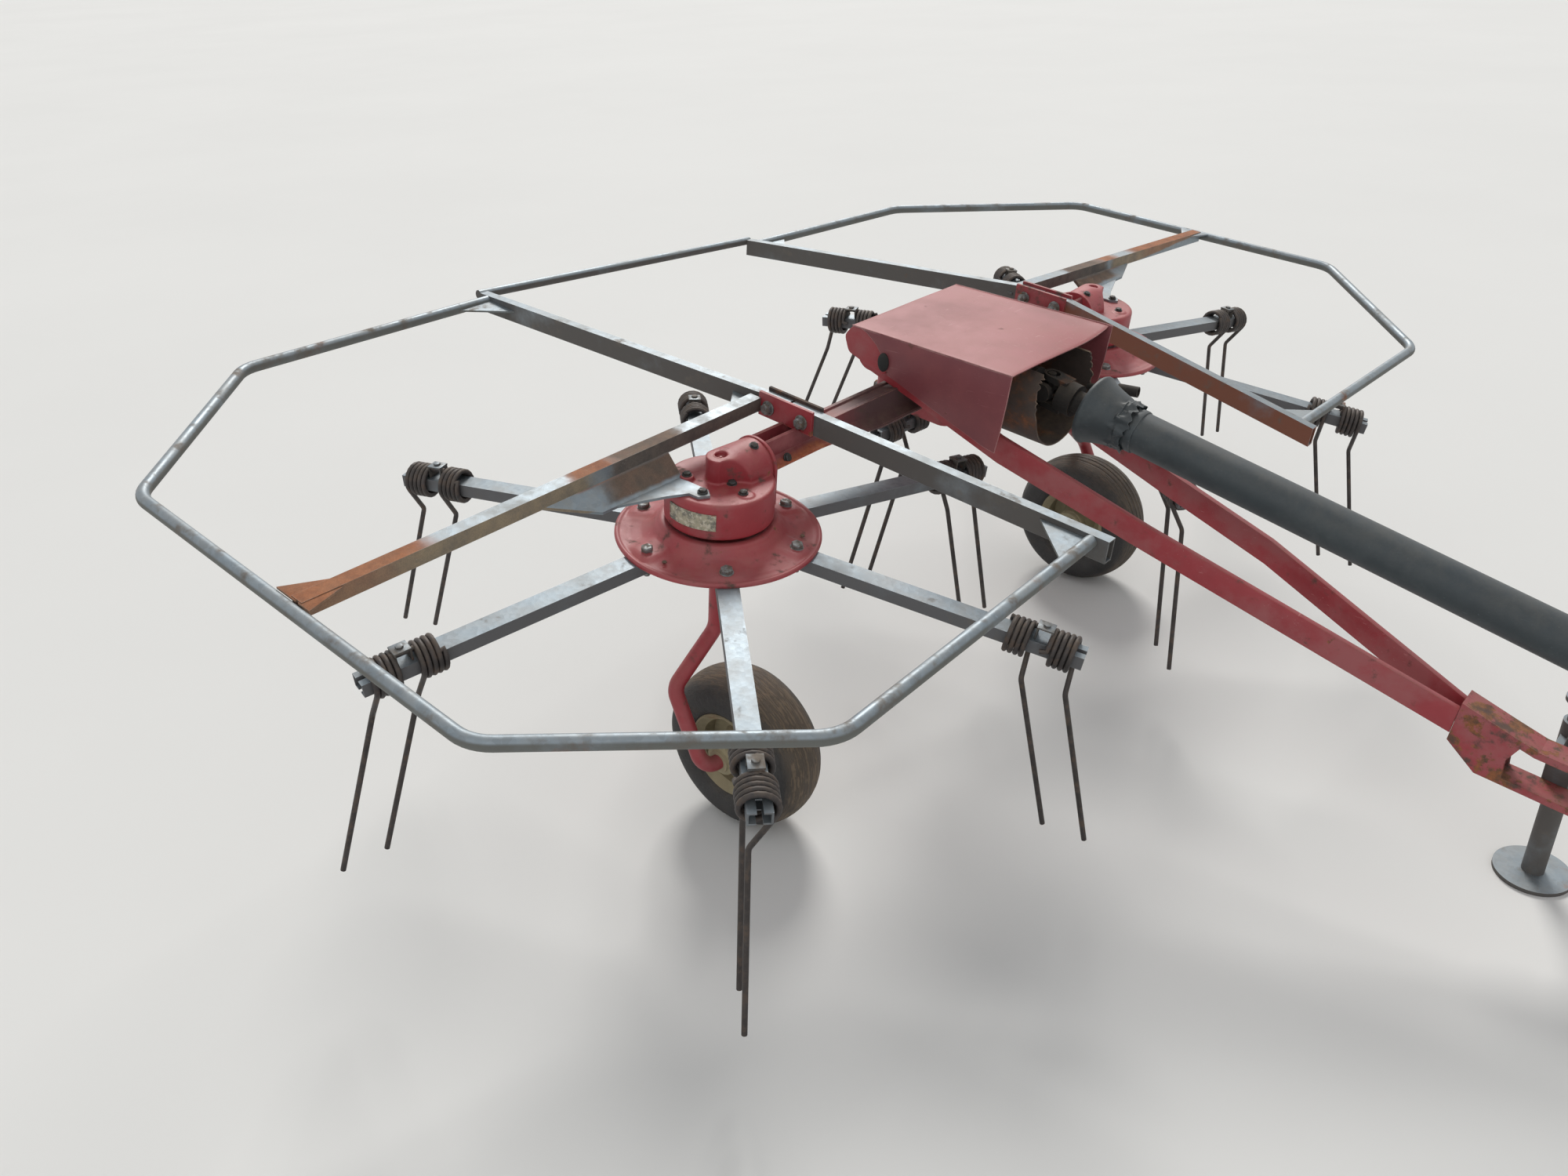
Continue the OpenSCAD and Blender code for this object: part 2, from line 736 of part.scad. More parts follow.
module hitch() {
    low_z = jaw_top_z - jaw_gap - jaw_t;
    x0 = bar_front + bar_t / 2 * sin(bar_yaw) + seat;
    color(PAINT) in_machine() difference() {
        union() {
            // Upper jaw plate, bent once behind the jaw
            rotate([90, 0, 0]) translate([0, 0, -jaw_w / 2])
                linear_extrude(jaw_w) polygon([
                    [x0, hitch_root_z], [bar_front + hitch_knee, hitch_knee_z],
                    [bar_front + hitch_bend, jaw_top_z + jaw_t],
                    [hitch_x, jaw_top_z + jaw_t], [hitch_x, jaw_top_z],
                    [bar_front + hitch_bend - 4, jaw_top_z],
                    [bar_front + hitch_knee - 4, hitch_knee_z - jaw_t],
                    [x0, hitch_root_z - jaw_t]
                ]);
            translate([hitch_x, 0, jaw_top_z]) cylinder(h = jaw_t, d = jaw_w);
            translate([bar_front + hitch_heel, -jaw_w / 2, low_z])
                cube([hitch_x - bar_front - hitch_heel, jaw_w, jaw_t]);
            translate([hitch_x, 0, low_z]) cylinder(h = jaw_t, d = jaw_w);
            // Cheeks between the plates, open towards the jaw
            for (s = [-1, 1])
                translate([0, s > 0 ? jaw_w / 2 : cheek_t - jaw_w / 2, 0])
                    rotate([90, 0, 0]) linear_extrude(cheek_t) polygon([
                        [x0, hitch_root_z - 3],
                        [bar_front + hitch_knee - 2, hitch_knee_z - 3],
                        [bar_front + hitch_lip, hitch_lip_z],
                        [bar_front + hitch_throat, hitch_throat_z],
                        [bar_front + hitch_throat + 8, low_z + 2],
                        [bar_front + hitch_heel, low_z], [x0, hitch_heel_z]
                    ]);
        }
        translate([hitch_x, 0, low_z - 100])
            cylinder(h = 100 - low_z, d = hitch_bore);
    }
}

// Point on the machine, carried into the level frame of the floor
function level(p) = [
    shift_x + p[0] * cos(lean) + p[2] * sin(lean),
    p[1],
    rotor_z - p[0] * sin(lean) + p[2] * cos(lean)
];
stand_at = level([stand_x, stand_y, jaw_top_z - jaw_gap / 2]);

bracket_top = 16;

module stand_sleeve() {
    z = stand_at[2] - sleeve_h / 2;
    r = stand_d / 2 + running_fit;
    color(PAINT) difference() {
        union() {
            translate([stand_at[0], stand_y, z]) cylinder(h = sleeve_h, r = r + 5);
            translate([stand_at[0] - 20, jaw_w / 2 + seat,
                stand_at[2] - sleeve_h / 2 + 6])
                cube([40, stand_y - jaw_w / 2, sleeve_h / 2 - 6 + bracket_top]);
        }
        translate([stand_at[0], stand_y, z - 1]) cylinder(h = sleeve_h + 2, r = r);
    }
}

module stand() {
    top = stand_at[2] + sleeve_h / 2 + 40;
    color(ZINC) translate([stand_at[0], stand_y, 0]) {
        cylinder(h = 8, d = foot_d);
        translate([0, 0, 7]) cylinder(h = top - 7, d = stand_d);
        translate([0, 0, top - 1]) cylinder(h = 8, d = stand_d + 22);
    }
}

// Hood over the gearbox: a top sheet and two hanging sides

hood_front_z = hood_z + 16;
hood_front_w = hood_w + 14;
hood_tip_l = 40;
hood_tip_z = 92;
hood_bend = [142, 152];
hood_low = 172;

module hood_top() {
    slope = atan((hood_front_z - hood_z) / (hood_front - hood_rear));
    color(PAINT) in_machine() translate([hood_rear, 0, hood_z])
        rotate([0, -slope, 0]) translate([0, 0, -hood_t])
            linear_extrude(hood_t) polygon([
                [0, -hood_w / 2], [(hood_front - hood_rear) / cos(slope),
                    -hood_front_w / 2],
                [(hood_front - hood_rear) / cos(slope), hood_front_w / 2],
                [0, hood_w / 2]
            ]);
}

module hood_side(side) {
    yaw = atan((hood_front_w - hood_w) / 2 / (hood_front - hood_rear));
    l = hood_front - hood_rear;
    color(PAINT) in_machine() on_side(side)
        translate([hood_rear, -hood_w / 2, 0]) rotate([0, 0, -yaw])
            rotate([90, 0, 0]) translate([0, 0, -hood_t])
                linear_extrude(hood_t) polygon([
                    [0, hood_z - hood_t - seat],
                    [l, hood_front_z - hood_t - seat],
                    [l - hood_tip_l * 0.3, hood_tip_z],
                    [l - hood_tip_l, hood_tip_z + 4],
                    hood_bend, [0, hood_low]
                ]);
    // Pivot pin with its plug, square through the rear end of the drawbar arm
    pin_z = BAR_TOP[side][0][1] - bar_h / 2;
    pin_out = bar_inset + 2;
    color(PAINT) in_machine() on_side(side) {
        translate([bar_rear, -hood_w / 2 - 7, pin_z]) rotate([-90, 0, 0])
            cylinder(h = 6, d = 34);
        translate([bar_rear, -bar_spread, pin_z]) rotate([-90, 0, bar_yaw])
            translate([0, 0, -pin_out])
                cylinder(h = pin_out + 15, d = bar_bore - 0.4);
    }
}

// Round shield over the rear joint, torn along its upper front edge
module joint_shield() {
    x0 = box_l / 2 + 16 + seat;
    color(RUST) in_machine() translate([x0, 0, input_z]) rotate([0, 90, 0])
        difference() {
            cylinder(h = bell_l, d = bell_d, $fn = 72);
            translate([0, 0, bell_t])
                cylinder(h = bell_l, d = bell_d - 2 * bell_t, $fn = 72);
            translate([0, 0, -1]) cylinder(h = bell_t + 2, d = 76);
            // Its top is open under the hood
            translate([-bell_d - hood_z + hood_t + 3 + input_z, -bell_d, -1])
                cube([bell_d, 2 * bell_d, 2 * bell_l]);
        }
}

// Drive shaft and its guard, along the sloping shaft line

module on_shaft() {
    in_machine() translate([joint_x, 0, input_z]) rotate([0, 90 + shaft_slope, 0])
        children();
}

shaft_l = (joint_front_x - joint_x) / cos(shaft_slope);
cone_l = 96;
cone_start = 64;
front_cone_start = 20;

module guard_cone() {
    rotate_extrude($fn = 60) polygon([
        [cone_d / 2, 0], [cone_d / 2 + 3, 6], [guard_d / 2 + 6, cone_l - 12],
        [guard_d / 2 + 6, cone_l + 20], [guard_d / 2 + seat, cone_l + 20],
        [guard_d / 2 + seat, cone_l - 10], [cone_d / 2 - 4, 0]
    ]);
}

module guard_cone_rear() {
    color(PLASTIC) on_shaft() translate([0, 0, cone_start]) guard_cone();
}

module guard_cone_front() {
    color(PLASTIC) on_shaft() translate([0, 0, shaft_l - front_cone_start])
        rotate([180, 0, 0]) guard_cone();
}

module guard_tube() {
    from = cone_start + cone_l - 8;
    l = shaft_l - front_cone_start - cone_l + 8 - from;
    color(PLASTIC) on_shaft() translate([0, 0, from]) difference() {
        cylinder(h = l, d = guard_d, $fn = 60);
        translate([0, 0, 10])
            cylinder(h = l - 20, d = guard_d - 2 * guard_wall, $fn = 60);
        translate([0, 0, -1])
            cylinder(h = l + 2, d = shaft_d + 2 * running_fit, $fn = 60);
    }
}

// A saddle on a leaning post that carries the guard tube beside the stand
module shaft_cradle() {
    drop = (stand_x - joint_x) * tan(shaft_slope);
    top = level([stand_x, 0, input_z - drop - guard_d / 2 - 4]);
    foot = [stand_at[0], 52, stand_at[2] + bracket_top + seat];
    color(ZINC) {
        translate(foot - [18, 18, 0]) cube([36, 36, 5]);
        rod(foot + [0, 0, 3], [top[0], 0, top[2] - 1], 14);
        on_shaft() translate([0, 0, (stand_x - joint_x) / cos(shaft_slope)])
            difference() {
                cylinder(h = 14, d = guard_d + 22, center = true);
                cylinder(h = 16, d = guard_d + 2 * seat, center = true);
                translate([-guard_d - 12, -guard_d, -8])
                    cube([guard_d, 2 * guard_d, 16]);
            }
    }
}

// A yoke: a round base and two ears, with its cross bores at cross_up
cross_up = yoke_up;
yoke_base = 34;
cross_d = 16;
cross_l = 66;
yoke_d = 64;
yoke_gap = 42;
yoke_ear_t = 12;
yoke_ear_w = 36;
loose_bore = 26;

module yoke(d, ear_gap, bore) {
    difference() {
        union() {
            cylinder(h = yoke_base, d = d);
            for (s = [-1, 1])
                translate([0, s * (ear_gap + yoke_ear_t) / 2, 0])
                    rotate([90, 0, 0]) translate([0, 0, -yoke_ear_t / 2])
                        linear_extrude(yoke_ear_t) union() {
                            translate([-yoke_ear_w / 2, yoke_base - 12])
                                square([yoke_ear_w,
                                        cross_up - yoke_base + 12]);
                            translate([0, cross_up]) circle(d = yoke_ear_w);
                        }
        }
        translate([0, d, cross_up]) rotate([90, 0, 0])
            cylinder(h = 2 * d, d = bore);
    }
}

module cross() {
    for (a = [0, 90]) rotate([90, 0, a]) translate([0, 0, -cross_l / 2])
        cylinder(h = cross_l, d = cross_d);
}

// The input yoke with the cross, on the gearbox input shaft
module input_yoke() {
    base_x = joint_x - cross_up;
    color(STEEL_DARK) in_machine() translate([0, 0, input_z]) {
        translate([box_l / 2 + 4, 0, 0]) rotate([0, 90, 0])
            cylinder(h = base_x - box_l / 2, d = input_d);
        translate([base_x, 0, 0]) rotate([0, 90, 0]) yoke(yoke_d + 2, yoke_gap, cross_d - 1);
        translate([base_x - 46, 0, 0]) rotate([0, 90, 0])
            cylinder(h = 47, d = 58);
        translate([joint_x, 0, 0]) rotate([0, 90, 0]) cross();
    }
}

module drive_shaft() {
    color(STEEL_DARK) on_shaft() {
        translate([0, 0, cross_up - 10])
            cylinder(h = shaft_l - 2 * cross_up + 20, d = shaft_d);
        translate([0, 0, cross_up]) rotate([180, 0, 90])
            yoke(yoke_d, yoke_gap, loose_bore);
        translate([0, 0, shaft_l - cross_up]) rotate([0, 0, 90])
            yoke(yoke_d, yoke_gap, cross_d + 2 * running_fit);
    }
}

module front_yoke() {
    color(STEEL_DARK) on_shaft() translate([0, 0, shaft_l]) {
        difference() {
            translate([0, 0, cross_up]) rotate([180, 0, 0])
                yoke(2 * yoke_r, yoke_gap, cross_d - 1);
            translate([0, 0, 20]) cylinder(h = 80, d = yoke_bore);
        }
        cross();
    }
}

// Wheels and the cranked bars that carry them

axle_y = rotor_y;
axle_out = tyre_w / 2 + 34 + leg_d / 2;

module wheel_leg(side) {
    out_y = -axle_y - axle_out;
    color(PAINT) in_machine() on_side(side) {
        bent_bar([
            [0, -rotor_y, ceiling_z], [0, -rotor_y, -214],
            [0, out_y + 4, -300], [axle_fwd, out_y, -axle_down],
            [axle_fwd, -axle_y - tyre_w / 2 + 10, -axle_down]
        ], leg_d, 34, $fn = 32);
        translate([axle_fwd, -axle_y - tyre_w / 2, -axle_down])
            rotate([-90, 0, 0]) cylinder(h = tyre_w + 16, d = axle_d);
    }
}

module at_wheel(side) {
    at = level([axle_fwd, 0, -axle_down]);
    on_side(side) translate([at[0], -axle_y, at[2]]) rotate([-90, 0, 0])
        children();
}

module tyre(side) {
    r = tyre_d / 2;
    w = tyre_w / 2;
    b = rim_d / 2;
    color(RUBBER) at_wheel(side) rotate_extrude($fn = 96) polygon([
        [b + 2, -w + 26], [b + 10, -w + 10], [b + 26, -w + 1],
        [r - 42, -w], [r - 22, -w + 6], [r - 8, -w + 20], [r - 2, -w + 38],
        [r, -12], [r, 12], [r - 2, w - 38], [r - 8, w - 20], [r - 22, w - 6],
        [r - 42, w], [b + 26, w - 1], [b + 10, w - 10], [b + 2, w - 26]
    ]);
}

module rim(side) {
    w = tyre_w / 2;
    b = rim_d / 2;
    bore = axle_d / 2 + running_fit;
    color(RUST) at_wheel(side) rotate_extrude($fn = 72) polygon([
        [bore, -w + 16], [32, -w + 16], [32, -w + 30], [46, -8],
        [b - 8, -10], [b - 8, -w + 24], [b + 6, -w + 8], [b + 9, -w + 11],
        [b + 1, -w + 26], [b + 1, w - 26], [b + 9, w - 11], [b + 6, w - 8],
        [b - 8, w - 24], [b - 8, 8], [46, 8], [32, w - 30], [32, w - 16],
        [bore, w - 16]
    ]);
}

gearbox();
beam(RIGHT);  // beam_right
beam(LEFT);  // beam_left
head(RIGHT);  // head_right
head(LEFT);  // head_left
bracket(RIGHT);  // bracket_right
bracket(LEFT);  // bracket_left
rail_rear(RIGHT);  // rail_rear_right
rail_rear(LEFT);  // rail_rear_left
rail_front(RIGHT);  // rail_front_right
rail_front(LEFT);  // rail_front_left
hoop(RIGHT);  // hoop_right
hoop(LEFT);  // hoop_left
outrigger(RIGHT);  // outrigger_right
outrigger(LEFT);  // outrigger_left
tie_tube();
drawbar(RIGHT);  // drawbar_right
drawbar(LEFT);  // drawbar_left
hitch();
stand_sleeve();
stand();
hood_top();
hood_side(RIGHT);  // hood_right
hood_side(LEFT);  // hood_left
joint_shield();
guard_cone_rear();
guard_tube();
guard_cone_front();
shaft_cradle();
input_yoke();
drive_shaft();
front_yoke();
wheel_leg(RIGHT);  // wheel_leg_right
wheel_leg(LEFT);  // wheel_leg_left
tyre(RIGHT);  // tyre_right
tyre(LEFT);  // tyre_left
rim(RIGHT);  // rim_right
rim(LEFT);  // rim_left
disc(RIGHT);  // disc_right
disc(LEFT);  // disc_left
arms(RIGHT);  // arms_right
arms(LEFT);  // arms_left
tines(RIGHT);  // tines_right
tines(LEFT);  // tines_left
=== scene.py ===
from math import acos, atan2, cos, hypot, pi, radians, sin, tan, tau

import bpy
from bpy.props import FloatProperty, FloatVectorProperty, IntProperty, PointerProperty
from mathutils import Matrix, Vector, noise


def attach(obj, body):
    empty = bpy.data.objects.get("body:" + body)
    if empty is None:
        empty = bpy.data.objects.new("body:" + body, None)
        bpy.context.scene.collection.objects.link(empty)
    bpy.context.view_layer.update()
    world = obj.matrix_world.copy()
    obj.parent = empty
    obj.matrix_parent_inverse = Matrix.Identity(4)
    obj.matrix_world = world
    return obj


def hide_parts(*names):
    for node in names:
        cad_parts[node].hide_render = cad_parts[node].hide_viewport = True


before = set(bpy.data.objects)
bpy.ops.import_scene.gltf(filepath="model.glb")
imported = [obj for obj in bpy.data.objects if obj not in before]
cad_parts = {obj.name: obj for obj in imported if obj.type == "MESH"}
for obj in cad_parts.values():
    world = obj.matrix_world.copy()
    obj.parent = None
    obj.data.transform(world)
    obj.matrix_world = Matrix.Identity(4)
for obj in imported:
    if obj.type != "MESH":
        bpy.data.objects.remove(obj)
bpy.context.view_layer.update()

bl_info = {
    "name": "Two-rotor hay tedder",
    "version": (1, 0, 0),
    "blender": (4, 5, 0),
    "location": "3D View > Sidebar > Tedder",
    "description": "Dresses the packed tedder with its wire tines, castings, sheet metal and worn finishes",
    "category": "Object",
}

SIDES = ("right", "left")


def shifted(x, y, z):
    return Matrix.Translation((x, y, z))


def spun(angle, axis):
    return Matrix.Rotation(radians(angle), 4, axis)


# The machine leans nose down; its own frame has its middle between the rotors
MACHINE = shifted(-0.284925, 0, 0.619149) @ spun(7, "Y")
ROTOR_Y = 0.640
INPUT_Z = 0.166
ARMS = 6
FIRST_ARM = {"right": 19.0, "left": 40.5}
ARM_DROOP = 5.5
ARM_ROOT = shifted(0.084, 0, -0.010) @ spun(ARM_DROOP, "Y")
TINES_OUT = shifted(0.514, 0, 0)
BOLT_CIRCLE = 0.150
HUB_CIRCLE = 0.112
SHAFT = MACHINE @ shifted(0.262, 0, INPUT_Z) @ spun(96.2, "Y")
SHAFT_LENGTH = 1.18494
TYRE_RADIUS = 0.165
WHEEL_AT = {side: Vector((-0.25404, y, TYRE_RADIUS)) for side, y in zip(SIDES, (-ROTOR_Y, ROTOR_Y))}

# Top edges of the drawbar arms, in millimetres of the machine's frame
BAR_TOP = {"right": [(-44, 216), (60, 180), (247, 101), (558, 19), (1128, -115)],
           "left": [(-44, 216), (60, 180), (247, 101), (503, 44), (729, 2), (1128, -115)]}
BAR_DEPTHS = ((0.2, 0.066), (0.4, 0.055), (2.0, 0.050))


def length(name, description, default):
    return FloatProperty(name=name, description=description, default=default, unit="LENGTH")


def tint(name, description, default):
    return FloatVectorProperty(name=name, description=description, subtype="COLOR", size=3, default=default)


class TedderSizes(bpy.types.PropertyGroup):
    wire: length("Tine wire", "Diameter of the spring wire", 0.0095)
    coil: length("Coil bore", "Inner diameter of a tine coil", 0.048)
    bolt: length("Disc bolt", "Width across the flats of the disc bolts", 0.019)
    sag: length("Hood sag", "How far the hood's front edge hangs", 0.009)
    groove: length("Tyre groove", "Depth of what is left of the tread", 0.0018)
    torn: length("Torn edge", "Depth of the jags in the shield's edge", 0.012)
    turns: IntProperty(name="Lathe steps", description="Facets around the turned pieces", default=96, min=24, max=128)


class TedderColours(bpy.types.PropertyGroup):
    red: tint("Red paint", "Sound paint", (0.345, 0.036, 0.047))
    faded: tint("Faded red", "Paint bleached by the sun", (0.44, 0.118, 0.125))
    zinc: tint("Zinc", "Galvanised steel", (0.205, 0.245, 0.275))
    rust: tint("Rust", "Bright rust", (0.33, 0.115, 0.042))
    old_rust: tint("Old rust", "Dark old rust", (0.105, 0.058, 0.038))
    spring: tint("Spring steel", "Oiled dark wire", (0.040, 0.034, 0.033))
    rubber: tint("Rubber", "Tyre rubber", (0.026, 0.025, 0.025))
    shell: tint("Guard plastic", "Shaft guard", (0.026, 0.036, 0.042))
    dust: tint("Dust", "Dry soil and chaff", (0.36, 0.27, 0.175))


def sizes():
    return bpy.context.scene.tedder_sizes


def colours():
    return bpy.context.scene.tedder_colours


# Numbers

def mm(*points):
    """Points given in millimetres."""
    return [tuple(c / 1000 for c in point) for point in points]


def clamp(value):
    return max(0.0, min(1.0, value))


def eased(share):
    return share * share * (3 - 2 * share)


def shaded(amount, colour):
    return tuple(amount * c for c in colour)


# Handling pieces

def let_go():
    if bpy.context.object and bpy.context.object.mode != "OBJECT":
        bpy.ops.object.mode_set(mode="OBJECT")
    bpy.ops.object.select_all(action="DESELECT")


def take(*pieces):
    let_go()
    for piece in pieces:
        piece.select_set(True)
    bpy.context.view_layer.objects.active = pieces[0]
    return pieces[0]


def shape(piece, pick="VERT", action="SELECT"):
    """Opens the piece in edit mode with everything selected, or nothing."""
    take(piece)
    bpy.ops.object.mode_set(mode="EDIT")
    bpy.ops.mesh.select_mode(type=pick)
    bpy.ops.mesh.select_all(action=action)


def face_out():
    """Turns every face of the open piece outwards and closes it."""
    bpy.ops.mesh.select_all(action="SELECT")
    bpy.ops.mesh.normals_make_consistent(inside=False)
    let_go()


def alter(piece, kind, **settings):
    """Adds one modifier and applies it."""
    change = piece.modifiers.new(kind.title(), kind)
    for name, value in settings.items():
        setattr(change, name, value)
    take(piece)
    bpy.ops.object.modifier_apply(modifier=change.name)
    return piece


def broken(piece, width, angle):
    """Breaks the edges that turn by more than the angle."""
    return alter(piece, "BEVEL", width=width, segments=2, limit_method="ANGLE", angle_limit=radians(angle))


def close_up(piece, gap=0.00002):
    """Merges doubles and turns every face outwards."""
    shape(piece)
    bpy.ops.mesh.remove_doubles(threshold=gap)
    face_out()
    return piece


def put(piece, place):
    """Carries the mesh to its place and leaves the object at the origin."""
    piece.matrix_world = place
    take(piece)
    bpy.ops.object.transform_apply(location=True, rotation=True, scale=True)
    if place.determinant() < 0:
        close_up(piece)
    return piece


def join(*pieces):
    take(*pieces)
    if len(pieces) > 1:
        bpy.ops.object.join()
    return bpy.context.object


def twin_of(master):
    twin = master.copy()
    twin.data = master.data.copy()
    bpy.context.collection.objects.link(twin)
    return twin


def drop(*pieces):
    for piece in pieces:
        bpy.data.objects.remove(piece)


def copies(master, places):
    """One copy of the master for each place, joined; the master goes."""
    made = [put(twin_of(master), place) for place in places]
    drop(master)
    return join(*made)


def push(piece, move):
    """Moves every vertex to move(place)."""
    let_go()
    for vertex in piece.data.vertices:
        vertex.co = move(vertex.co.copy())
    piece.data.update()
    return piece


def dress(piece, coat):
    piece.data.materials.clear()
    piece.data.materials.append(bpy.data.materials[coat])


def done(piece, name, body, coat, stands_for=(), smooth=35):
    piece.name = piece.data.name = name
    dress(piece, coat)
    take(piece)
    bpy.ops.object.shade_smooth_by_angle(angle=radians(smooth))
    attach(piece, body)
    if stands_for:
        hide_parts(*stands_for)
    let_go()
    return piece


# Starting shapes

def line(name, points, closed=False, thick=0.0, sides=3):
    """A run of edges through points, or a round wire if it is thick."""
    curve = bpy.data.curves.new(name, "CURVE")
    curve.dimensions = "3D"
    run = curve.splines.new("POLY")
    run.points.add(len(points) - 1)
    for spot, point in zip(run.points, points):
        spot.co = (*point, 1)
    run.use_cyclic_u = closed
    if thick:
        curve.fill_mode = "FULL"
        curve.bevel_depth = thick / 2
        curve.bevel_resolution = sides
        curve.use_fill_caps = not closed
    piece = bpy.data.objects.new(name, curve)
    bpy.context.collection.objects.link(piece)
    take(piece)
    bpy.ops.object.convert(target="MESH")
    return bpy.context.object


def turned(name, outline, steps=None, closed=False):
    """A lathe piece about Z from points of (radius, height)."""
    piece = line(name, [(r, 0, z) for r, z in outline], closed)
    shape(piece)
    bpy.ops.mesh.spin(steps=steps or sizes().turns, angle=tau, center=(0, 0, 0), axis=(0, 0, 1))
    let_go()
    return close_up(piece)


def extruded(name, points, moves):
    """The face inside the points, extruded by each of the moves."""
    piece = line(name, points, closed=True)
    shape(piece)
    bpy.ops.mesh.edge_face_add()
    for move in moves:
        bpy.ops.mesh.extrude_region_move(TRANSFORM_OT_translate={"value": move})
    face_out()
    return piece


def drawn_out(name, section, stations):
    """A closed section of (x, z) points drawn out along Y through the stations."""
    return extruded(name, [(x, stations[0], z) for x, z in section],
                    [(0, after - before, 0) for before, after in zip(stations, stations[1:])])


def sheet_plate(name, outline, thick, edge=0.0006):
    """A flat plate from its outline in XY, standing on Z = 0."""
    return broken(extruded(name, [(x, y, 0) for x, y in outline], [(0, 0, thick)]), edge, 40)


def drum(name, radius, depth, place=(0, 0, 0), sides=48, edge=0.0):
    """A round block standing on its place, with broken edges."""
    let_go()
    bpy.ops.mesh.primitive_cylinder_add(vertices=sides, radius=radius, depth=depth,
                                        location=Vector(place) + Vector((0, 0, depth / 2)))
    piece = bpy.context.object
    piece.name = name
    put(piece, piece.matrix_world.copy())
    return broken(piece, edge, 50) if edge else piece


def block(name, low, high):
    let_go()
    low, high = Vector(low), Vector(high)
    bpy.ops.mesh.primitive_cube_add(size=1)
    piece = bpy.context.object
    piece.name = name
    put(piece, Matrix.Translation((low + high) / 2) @ Matrix.Diagonal((*(high - low), 1)))
    return broken(piece, 0.001, 30)


def cut(piece, tool, operation="DIFFERENCE"):
    alter(piece, "BOOLEAN", object=tool, operation=operation, solver="EXACT")
    drop(tool)
    return piece


def bent(points, radius, steps=6):
    """The run of points with each inner corner rounded."""
    run = [Vector(p) for p in points]
    out = [run[0]]
    for a, b, c in zip(run, run[1:], run[2:]):
        u, v = (b - a).normalized(), (c - b).normalized()
        turn = u.angle(v)
        side = (v - u * u.dot(v)).normalized()
        middle = b - u * radius * tan(turn / 2) + side * radius
        for k in range(steps + 1):
            angle = turn * k / steps
            out.append(middle - side * radius * cos(angle) + u * radius * sin(angle))
    return out + [run[-1]]


def hex_bolt(across, head, washer=0.0, stud=0.0):
    """A bolt head on Z = 0 with its washer, and the nut's stud above it."""
    let_go()
    base = 0.0022 if washer else 0.0
    bpy.ops.mesh.primitive_cylinder_add(vertices=6, radius=across / 2 / cos(pi / 6), depth=head,
                                        location=(0, 0, base + head / 2))
    bolt = bpy.context.object
    put(bolt, bolt.matrix_world.copy())
    shape(bolt, "FACE", "DESELECT")
    bpy.ops.object.mode_set(mode="OBJECT")
    for face in bolt.data.polygons:
        face.select = face.normal.z > 0.9
    bpy.ops.object.mode_set(mode="EDIT")
    bpy.ops.mesh.inset(thickness=across * 0.09)
    bpy.ops.transform.translate(value=(0, 0, head * 0.14))
    let_go()
    parts = [broken(bolt, 0.0006, 25)]
    if washer:
        parts.append(drum("washer", washer / 2, base, sides=24, edge=0.0005))
    if stud:
        parts.append(drum("stud", across * 0.29, stud, (0, 0, base + head), sides=16, edge=0.001))
    return join(*parts)


def aim(place, towards, roll=0.0):
    """Where a piece built on +Z goes, so that it points towards."""
    turn = Vector(towards).to_track_quat("Z", "Y").to_matrix().to_4x4()
    return Matrix.Translation(place) @ turn @ spun(roll, "Z")


def upended(y):
    """Stands a flat piece up: its Y then points up, and its Z along Y from y."""
    return Matrix(((1, 0, 0, 0), (0, 0, 1, y), (0, 1, 0, 0), (0, 0, 0, 1)))


def half(side):
    """The machine's own frame; the left one is the right one's mirror image."""
    return MACHINE @ Matrix.Diagonal((1, -1 if side == "left" else 1, 1, 1))


def rotor(side):
    return half(side) @ shifted(0, -ROTOR_Y, 0)


def arm_frames(side):
    return [rotor(side) @ spun(FIRST_ARM[side] + 60 * i, "Z") @ ARM_ROOT for i in range(ARMS)]


# Finishes

class Net:
    """A tree of shader nodes, with the sums that the finishes need."""

    def __init__(self, tree):
        self.tree = tree

    def node(self, kind, inputs=None, **settings):
        made = self.tree.nodes.new("ShaderNode" + kind)
        for name, value in settings.items():
            setattr(made, name, value)
        for name, value in (inputs or {}).items():
            if isinstance(value, bpy.types.NodeSocket):
                self.link(value, made.inputs[name])
            else:
                made.inputs[name].default_value = value
        return made

    def link(self, start, end):
        self.tree.links.new(start, end)

    def fixed(self, kind, value):
        socket = self.node(kind).outputs[0]
        socket.default_value = value
        return socket

    def maths(self, operation, a, b=0.5, c=0.5, clamp=False):
        return self.node("Math", {0: a, 1: b, 2: c}, operation=operation, use_clamp=clamp).outputs[0]

    def times(self, a, b, clamp=False):
        return self.maths("MULTIPLY", a, b, clamp=clamp)

    def step(self, value, low, high):
        """A soft step from 0 at low to 1 at high."""
        return self.node("MapRange", {"Value": value, "From Min": low, "From Max": high},
                         interpolation_type="SMOOTHSTEP").outputs["Result"]

    def place(self):
        return self.node("TexCoord").outputs["Object"]

    def coordinate(self, axis):
        return self.node("SeparateXYZ", {0: self.place()}).outputs[axis]

    def across(self):
        """Distance from the machine's middle plane."""
        return self.maths("ABSOLUTE", self.coordinate("Y"))

    def normal(self):
        return self.node("NewGeometry").outputs["Normal"]

    def up(self):
        """How far the surface faces up."""
        return self.node("SeparateXYZ", {0: self.normal()}).outputs["Z"]

    def cloud(self, scale, detail=6.0, rough=0.6, place=None):
        return self.node("TexNoise", {"Vector": place or self.place(), "Scale": scale, "Detail": detail,
                                      "Roughness": rough}).outputs["Fac"]


